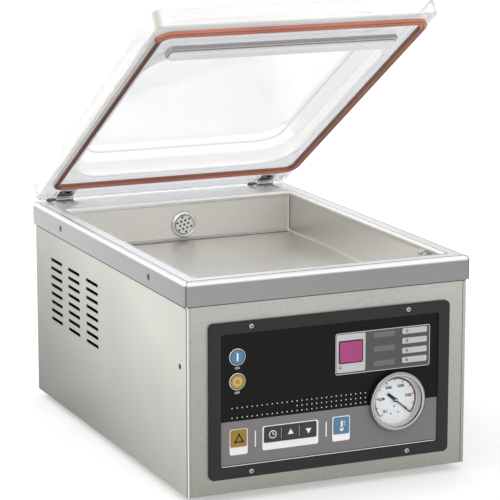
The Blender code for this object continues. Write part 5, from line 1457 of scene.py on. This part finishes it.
def keys():
    for name, (finish, slot) in KEY_FINISH.items():
        size = span(name)
        width = size.x - 2 * KEY_LIP
        height = size.z - 2 * KEY_LIP
        cap = section(width, height, width / 2 if name in ROUND_KEYS else width / 11, KEY_BACK)
        top = grown(cap, -KEY_COLLAR, 0) if name in ROUND_KEYS else cap
        loops = [grown(cap, KEY_LIP, KEY_BACK), grown(cap, KEY_LIP, KEY_FLANGE), grown(top, 0, KEY_FLANGE)]
        loops += [grown(top, -inset, KEY_PROUD - KEY_EDGE + rise) for inset, rise in quarter(KEY_EDGE, 4)]
        bm = bmesh.new()
        lofted(bm, loops, on_key(name), 12)
        piece(name + "_cap", bm, finish, name, [name])
    for name in ROUND_KEYS:
        rim = span(name).x / 2 - KEY_LIP
        lip = rim - KEY_COLLAR + KEY_EDGE / 4
        foot = KEY_FLANGE + KEY_EDGE
        collar = [(lip, KEY_PROUD - KEY_EDGE / 2), (lip + KEY_EDGE / 2, KEY_PROUD)]
        collar += [(rim - KEY_EDGE, KEY_PROUD), (rim, KEY_PROUD - KEY_EDGE), (rim, foot), (lip, foot)]
        bm = bmesh.new()
        spun(bm, collar, on_key(name), 64, closed=True)
        piece(name + "_collar", bm, KEY_RING_AND_HIGHLIGHT, name)
        bm = bmesh.new()
        round_line(bm, lip - KEY_EDGE / 2, lip - 2 * KEY_EDGE, on_key(name, KEY_PROUD))
        piece(name + "_line", bm, BLACK_INK_AND_SHADE, name)


def on_mark(bm, spot):
    plate(bm, *ON_BAR, spot)


def off_mark(bm, spot):
    round_line(bm, *OFF_RING, spot)


def stop_mark(bm, spot):
    for turn in range(3):
        side = spot @ at(0, -STOP_DROP, 0) @ Matrix.Rotation(math.radians(120 * turn), 4, "Z")
        edge = side @ at(0, -STOP_REACH / 2 + STOP_LINE / 2, 0)
        plate(bm, STOP_REACH * STOP_SIDE, STOP_LINE, STOP_CORNER, edge)


def clock_mark(bm, spot):
    round_line(bm, *CLOCK_RING, spot, steps=32)
    plate(bm, *CLOCK_LONG_HAND, spot @ at(0, CLOCK_LONG_UP, 0))
    plate(bm, *CLOCK_SHORT_HAND, spot @ at(CLOCK_SHORT_OUT, 0, 0))


def up_mark(bm, spot):
    triangle(bm, ARROW_REACH, spot)


def down_mark(bm, spot):
    triangle(bm, ARROW_REACH, spot @ Matrix.Rotation(math.pi, 4, "Z"))


def heat_mark(bm, spot):
    dot(bm, HEAT_BULB_R, spot @ at(0, -HEAT_BULB_DROP, 0), steps=24)
    plate(bm, *HEAT_STEM, spot @ at(0, HEAT_STEM_UP, 0))
    for up in HEAT_TICK_UPS:
        plate(bm, *HEAT_TICK, spot @ at(HEAT_TICK_X, up, 0))


KEY_MARKS = {
    "on_key": (on_mark, WHITE_INK, "white_silicone"),
    "off_key": (off_mark, PALE_YELLOW, "yellow_key"),
    "stop_key": (stop_mark, MARK_BROWN, "dial_black"),
    "set_key": (clock_mark, WHITE_INK, "white_silicone"),
    "up_key": (up_mark, WHITE_INK, "white_silicone"),
    "down_key": (down_mark, WHITE_INK, "white_silicone"),
    "temp_key": (heat_mark, WHITE_INK, "white_silicone"),
}


def key_marks():
    """A mark printed on each key, which moves with it."""
    for name, (draw, finish, slot) in KEY_MARKS.items():
        bm = bmesh.new()
        draw(bm, on_key(name, KEY_PROUD))
        piece(name + "_mark", bm, finish, name)


def surround(bm, patch, hole):
    """A printed patch with a hole in it; both are given as (left, low, right, high) on the panel."""
    loops = []
    for (left, low, right, high), bend in ((patch, PATCH_CORNER), (hole, PATCH_HOLE_CORNER)):
        loops.append(section(right - left, high - low, bend, 0, (left + right) / 2, (low + high) / 2))
    outer, inner = loops
    loops = [outer, grown(outer, 0, INK), grown(inner, 0, INK), inner, outer]
    lofted(bm, loops, on_panel(0, 0), 8, closed=True)


def key_hole(name, margin=SEAT):
    """A key's outline on the panel, let out by a margin."""
    centre = middle(name)
    wide = span(name).x / 2 - KEY_LIP + margin
    tall = span(name).z / 2 - KEY_LIP + margin
    return centre.x - wide, centre.z - Z_BASE - tall, centre.x + wide, centre.z - Z_BASE + tall


def overlay_prints():
    white = bmesh.new()
    for up, first in DOT_ROWS:
        for count in range(first, DOT_COUNT):
            dot(white, DOT_R, on_panel(DOT_X + DOT_STEP * count, up), steps=10)
    for x, up, height in DIVIDERS:
        plate(white, DIVIDER_W, height, DIVIDER_CORNER, on_panel(x, up))
    surround(white, STOP_PATCH, key_hole("stop_key"))
    surround(white, HEAT_PATCH, key_hole("temp_key"))
    left, low, _, _ = key_hole("set_key", BLOCK_MARGIN)
    _, _, right, high = key_hole("down_key", BLOCK_MARGIN)
    surround(white, BLOCK_PATCH, (left, low, right, high))
    for name, text in (("on_key", "ON"), ("off_key", "OFF")):
        words(white, text, WORD_SIZE, on_key(name) @ at(0, -WORD_DROP, 0))
    low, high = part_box("control_overlay")
    centre_x = (low.x + high.x) / 2
    wide = high.x - low.x - 2 * OVERLAY_CORNER
    # Painted highlight: a white line along the film's lower edge, where the bezel's lip catches the light,
    # with a dark line just above it
    spot = at(centre_x, FACE_Y, low.z + FILM_HIGHLIGHT_RISE, FRONTWARD)
    plate(white, wide, FILM_HIGHLIGHT_H, LINE_CORNER, spot)
    piece("white_prints_and_highlight", white, WHITE_INK, "cabinet")
    edge = bmesh.new()
    spot = at(centre_x, FACE_Y, low.z + FILM_LINE_RISE, FRONTWARD)
    plate(edge, wide, FILM_LINE_H, LINE_CORNER, spot)
    piece("overlay_edge", edge, BLACK_INK_AND_SHADE, "cabinet")
    pairs = [("set_key", "up_key"), ("up_key", "down_key")]
    gaps = [(middle(one) + middle(other)) / 2 for one, other in pairs]
    pale = bmesh.new()
    field = bmesh.new()
    for gap in gaps:
        spot = at(gap.x, FACE_Y, gap.z, FRONTWARD)
        plate(pale, *GAP_LINE, spot, lift=INK)
        plate(field, *GAP_FIELD, spot)
    piece("pale_prints", pale, PALE_PLATE, "cabinet")
    piece("key_block_field", field, DARK_KEY, "cabinet")


def display_prints():
    centre = middle("display_plate")
    size = span("display_plate")
    pale = bmesh.new()
    spot = on_panel(centre.x, centre.z - Z_BASE, DISPLAY_OUT)
    frame_line(pale, size.x - PLATE_INSET, size.z - PLATE_INSET, PLATE_CORNER, PLATE_LINE, spot)
    plate(pale, *READING_LABEL, on_panel(*READING_AT, DISPLAY_OUT), LABEL_T)
    for up in LAMP_UPS:
        plate(pale, *LAMP_LABEL, on_panel(LAMP_LABEL_X, up, DISPLAY_OUT), LABEL_T)
    piece("display_labels", pale, PALE_PLATE, "cabinet")
    dim = bmesh.new()
    for up in DIM_LABEL_UPS:
        plate(dim, *DIM_LABEL, on_panel(DIM_LABEL_X, up, DISPLAY_OUT), LABEL_T)
    piece("display_dim_labels", dim, DIM_PLATE, "cabinet")
    dark = bmesh.new()
    for x, up in [(LAMP_X, up) for up in LAMP_UPS] + [SPARE_LAMP]:
        round_line(dark, *LAMP_RING, on_panel(x, up, DISPLAY_OUT + LABEL_T), steps=16)
    centre = middle("display_window")
    size = span("display_window")
    spot = at(centre.x, FACE_Y - DISPLAY_OUT - LABEL_T, centre.z, FRONTWARD)
    frame_line(dark, size.x + WINDOW_OUTSET, size.z + WINDOW_OUTSET, WINDOW_CORNER, WINDOW_LINE, spot)
    piece("display_lamps", dark, BLACK_INK_AND_SHADE, "cabinet")


# Gauge
def turned(name, profile, spot, finish, nodes=(), sharp=GAUGE_SHARP, closed=True):
    """A turned piece of the gauge."""
    bm = bmesh.new()
    spun(bm, profile, spot, GAUGE_STEPS, closed)
    piece(name, bm, finish, "cabinet", nodes, sharp)


def gauge():
    centre = middle("gauge_lens")
    up = centre.z - Z_BASE
    spot = on_panel(centre.x, up)
    lens_top = LENS_OUT + LENS_T
    seat = lens_top + SEAT
    lip = LENS_R - GAUGE_LIP
    rim = [(lip, seat)]
    rim += [(lip + out, GAUGE_TOP - drop) for out, drop in RING_INNER]
    rim += [(GAUGE_R - inset, GAUGE_TOP - drop) for inset, drop in RING_OUTER]
    rim += [(GAUGE_R, GAUGE_FOOT), (LENS_R + LENS_PLAY, GAUGE_FOOT), (LENS_R + LENS_PLAY, seat)]
    turned("gauge_ring", rim, spot, RING_STEEL, ["gauge_bezel"])
    # Painted shade: a thin dark sleeve inside the ring's lip, where its inner wall lies in shade, and a dark
    # line round the ring's top
    bm = bmesh.new()
    shade_line_top = GAUGE_TOP - SHADE_LINE_DROP
    groove = [(lip - SHADE_LINE_W, shade_line_top), (lip, shade_line_top), (lip, seat), (lip - SHADE_LINE_W, seat)]
    spun(bm, groove, spot, GAUGE_STEPS, closed=True)
    outer, inner = RING_LINE
    round_line(bm, GAUGE_R - outer, GAUGE_R - inner, spot, SHADE_LINE_W, GAUGE_TOP - RING_LINE_DROP, GAUGE_STEPS)
    piece("gauge_shade_lines", bm, DARK_PLASTIC, "cabinet")
    ledge = LENS_R - SEAT
    lens = [(0, lens_top), (LENS_R * LENS_CROWN_SHARE, lens_top - LENS_CROWN)]
    lens += [(ledge, lens_top - 2 * LENS_CROWN), (ledge, LENS_OUT), (0, LENS_OUT)]
    turned("gauge_window", lens, spot, GLASS, ["gauge_lens"], closed=False)
    foot = DIAL_OUT + WALL_GAP
    wall = [(DIAL_R - WALL_FOOT, foot), (DIAL_R, LENS_OUT - WALL_BEND), (ledge, LENS_OUT - WALL_GAP)]
    wall += [(ledge, LENS_OUT - WALL_UNDER), (DIAL_R + WALL_T, LENS_OUT - WALL_UNDER), (DIAL_R, foot)]
    turned("dial_surround", wall, spot, SILVER)
    back = DIAL_OUT - DIAL_T
    face = [(DIAL_BORE, DIAL_OUT), (DIAL_R, DIAL_OUT), (DIAL_R, back), (DIAL_BORE, back)]
    turned("gauge_face", face, spot, DIAL_WHITE, ["gauge_dial"], SHARP)
    dial_prints(on_panel(centre.x, up, DIAL_OUT))
    needle(on_panel(centre.x, up, DIAL_OUT))


def dial_prints(spot):
    marks = bmesh.new()
    for count in range(DIAL_DIVISIONS + 1):
        turn = spot @ Matrix.Rotation(GAUGE_REST + DIAL_SWEEP * count / DIAL_DIVISIONS, 4, "Z")
        length = LONG_MARK if count % 2 == 0 else SHORT_MARK
        place = turn @ at(MARK_REACH - length / 2, 0, 0)
        thin_line(marks, length, MARK_W, place, DIAL_PRINT_T, MARK_CORNER)
    for count, text in enumerate(DIAL_NUMBERS):
        angle = GAUGE_REST + DIAL_SWEEP * count / (len(DIAL_NUMBERS) - 1)
        place = spot @ at(NUMBER_REACH * math.cos(angle), NUMBER_REACH * math.sin(angle), 0)
        words(marks, text, NUMBER_SIZE, place, DIAL_PRINT_T, BOLD)
    change = GAUGE_REST + DIAL_SWEEP * RED_SHARE
    arc_line(marks, *BLACK_ARC, change, GAUGE_REST + DIAL_SWEEP, spot, DIAL_PRINT_T)
    round_line(marks, *SMALL_RING, spot @ at(*SMALL_RING_AT, 0), DIAL_PRINT_T, steps=16)
    for x, y in SMALL_DOTS:
        dot(marks, SMALL_DOT_R, spot @ at(x, y, 0), DIAL_PRINT_T)
    piece("dial_marks", marks, BLACK_INK_AND_SHADE, "cabinet")
    red = bmesh.new()
    arc_line(red, *RED_ARC, GAUGE_REST, change, spot, RED_ARC_T)
    piece("dial_red_arc", red, RED_INK, "cabinet")


def needle(spot):
    turn = spot @ Matrix.Rotation(GAUGE_REST, 4, "Z")
    bm = bmesh.new()
    tail = section(NEEDLE_TAIL, TAIL_W, TAIL_CORNER, TAIL_LOW, x=-NEEDLE_TAIL / 2)
    lofted(bm, [tail, grown(tail, 0, TAIL_TOP)], turn, 3)
    ends = [turn @ Vector((along, 0, NEEDLE_OUT)) for along in (0, NEEDLE_LENGTH)]
    wire(bm, ends, NEEDLE_R, 8)
    spun(bm, NEEDLE_HUB, turn, 32, closed=True)
    piece("needle", bm, DARK_PLASTIC, "needle", ["gauge_needle"])
    cap = bmesh.new()
    spun(cap, NEEDLE_CAP, turn, 24)
    piece("needle_cap", cap, BRIGHT_ALLOY, "needle")


# Soft pieces inside the cabinet
def bezier_route(start, leave, end, arrive, radius, count=24):
    """Points of a smooth hose that leaves and meets its fittings straight."""
    first = start + radius * leave
    last = end - radius * arrive
    bend = (end - start).length / 3
    spots = (first, first + bend * leave, last - bend * arrive, last)
    route = [start]
    for step in range(count + 1):
        t = step / count
        s = 1 - t
        route.append(s**3 * spots[0] + 3 * s * s * t * spots[1] + 3 * s * t * t * spots[2] + t**3 * spots[3])
    return route + [end]


def hoses():
    for name, (node, radius, start, leave, end, arrive) in HOSES.items():
        bm = bmesh.new()
        route = bezier_route(Vector(start), Vector(leave), Vector(end), Vector(arrive), radius)
        wire(bm, route, radius, HOSE_SIDES)
        piece(name, bm, RUBBER, "cabinet", [node], ROUND_SHARP)


def bladder():
    """A flat rubber bag with rolled seams at its ends and sides."""
    low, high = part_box("lift_bladder")
    size = high - low
    centre = (low + high) / 2
    belly = section(size.x, size.y, size.y / 3, centre.z, centre.x, centre.y)
    lift = size.z / 2
    loops = []
    for step in range(-6, 7):
        angle = math.pi / 2 * step / 6
        loops.append(grown(belly, -size.y / 4 * (1 - math.cos(angle)), centre.z + lift * math.sin(angle)))
    bm = bmesh.new()
    lofted(bm, loops, segments=8)
    obj = piece("lift_bag", bm, RUBBER, None, ["lift_bladder"], ROUND_SHARP)
    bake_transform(obj)


# Studio
def photo_camera():
    data = bpy.data.cameras.new("photo_camera")
    data.lens = CAMERA_LENS
    data.sensor_width = SENSOR
    data.clip_end = 100
    obj = bpy.data.objects.new("photo_camera", data)
    obj.location = CAMERA_AT
    obj.rotation_euler = (math.radians(90 - CAMERA_PITCH), 0, math.radians(-CAMERA_YAW))
    bpy.context.scene.collection.objects.link(obj)
    bpy.context.scene.camera = obj


def soft_sun(name, towards, strength, angle):
    data = bpy.data.lights.new(name, "SUN")
    data.energy = strength
    data.angle = math.radians(angle)
    obj = bpy.data.objects.new(name, data)
    obj.rotation_euler = Vector(towards).to_track_quat("-Z", "Y").to_euler()
    bpy.context.scene.collection.objects.link(obj)


def seen_directly(tree):
    """1 for what the camera sees, also by a reflection or through something clear."""
    path = tree.nodes.new("ShaderNodeLightPath")
    seen = path.outputs["Is Camera Ray"]
    for label in ("Is Glossy Ray", "Is Transmission Ray"):
        either = tree.nodes.new("ShaderNodeMath")
        either.operation = "MAXIMUM"
        tree.links.new(seen, either.inputs[0])
        tree.links.new(path.outputs[label], either.inputs[1])
        seen = either.outputs[0]
    return seen


def studio():
    """White all round, and one wide soft sun."""
    world = bpy.data.worlds.new("studio")
    bpy.context.scene.world = world
    world.use_nodes = True
    backdrop = world.node_tree.nodes["Background"]
    backdrop.inputs["Color"].default_value = (1, 1, 1, 1)
    backdrop.inputs["Strength"].default_value = 1.0
    soft_sun("soft_sun", SUN_TOWARDS, SUN_STRENGTH, SUN_ANGLE)


def floor():
    """A pale floor that shows white and takes soft shadows."""
    bm = bmesh.new()
    bmesh.ops.create_grid(bm, x_segments=1, y_segments=1, size=FLOOR_HALF)
    mesh = bpy.data.meshes.new("floor")
    bm.to_mesh(mesh)
    bm.free()
    made, tree, shader, place = new_material("pale_floor")
    mask = spread(tree, speckled(tree, place, FLOOR_GRAIN)["Cloud"], 0, 1)
    base = tint(tree, mask, FLOOR_DARK, FLOOR_LIGHT)
    tree.links.new(base, shader.inputs["Base Color"])
    shader.inputs["Roughness"].default_value = 0.9
    shader.inputs["Specular IOR Level"].default_value = 0.0
    shader.inputs["Emission Color"].default_value = (1, 1, 1, 1)
    lift = tree.nodes.new("ShaderNodeMath")
    lift.operation = "MULTIPLY"
    lift.inputs[1].default_value = FLOOR_GLOW
    tree.links.new(seen_directly(tree), lift.inputs[0])
    tree.links.new(lift.outputs[0], shader.inputs["Emission Strength"])
    mesh.materials.append(made)
    obj = bpy.data.objects.new("floor", mesh)
    bpy.context.scene.collection.objects.link(obj)


photo_camera()
studio()
floor()
top_rim()
skirt_shadow()
front_folds()
rim_seams()
wall_foot_shade()
rim_lines()
cabinet_screws()
grille_hole_shade()
wire_clip()
clear_lid()
gasket()
counter_bar()
hinges()
panel_bezel()
keys()
key_marks()
overlay_prints()
display_prints()
gauge()
hoses()
bladder()

bpy.context.scene.view_settings.view_transform = "Standard"
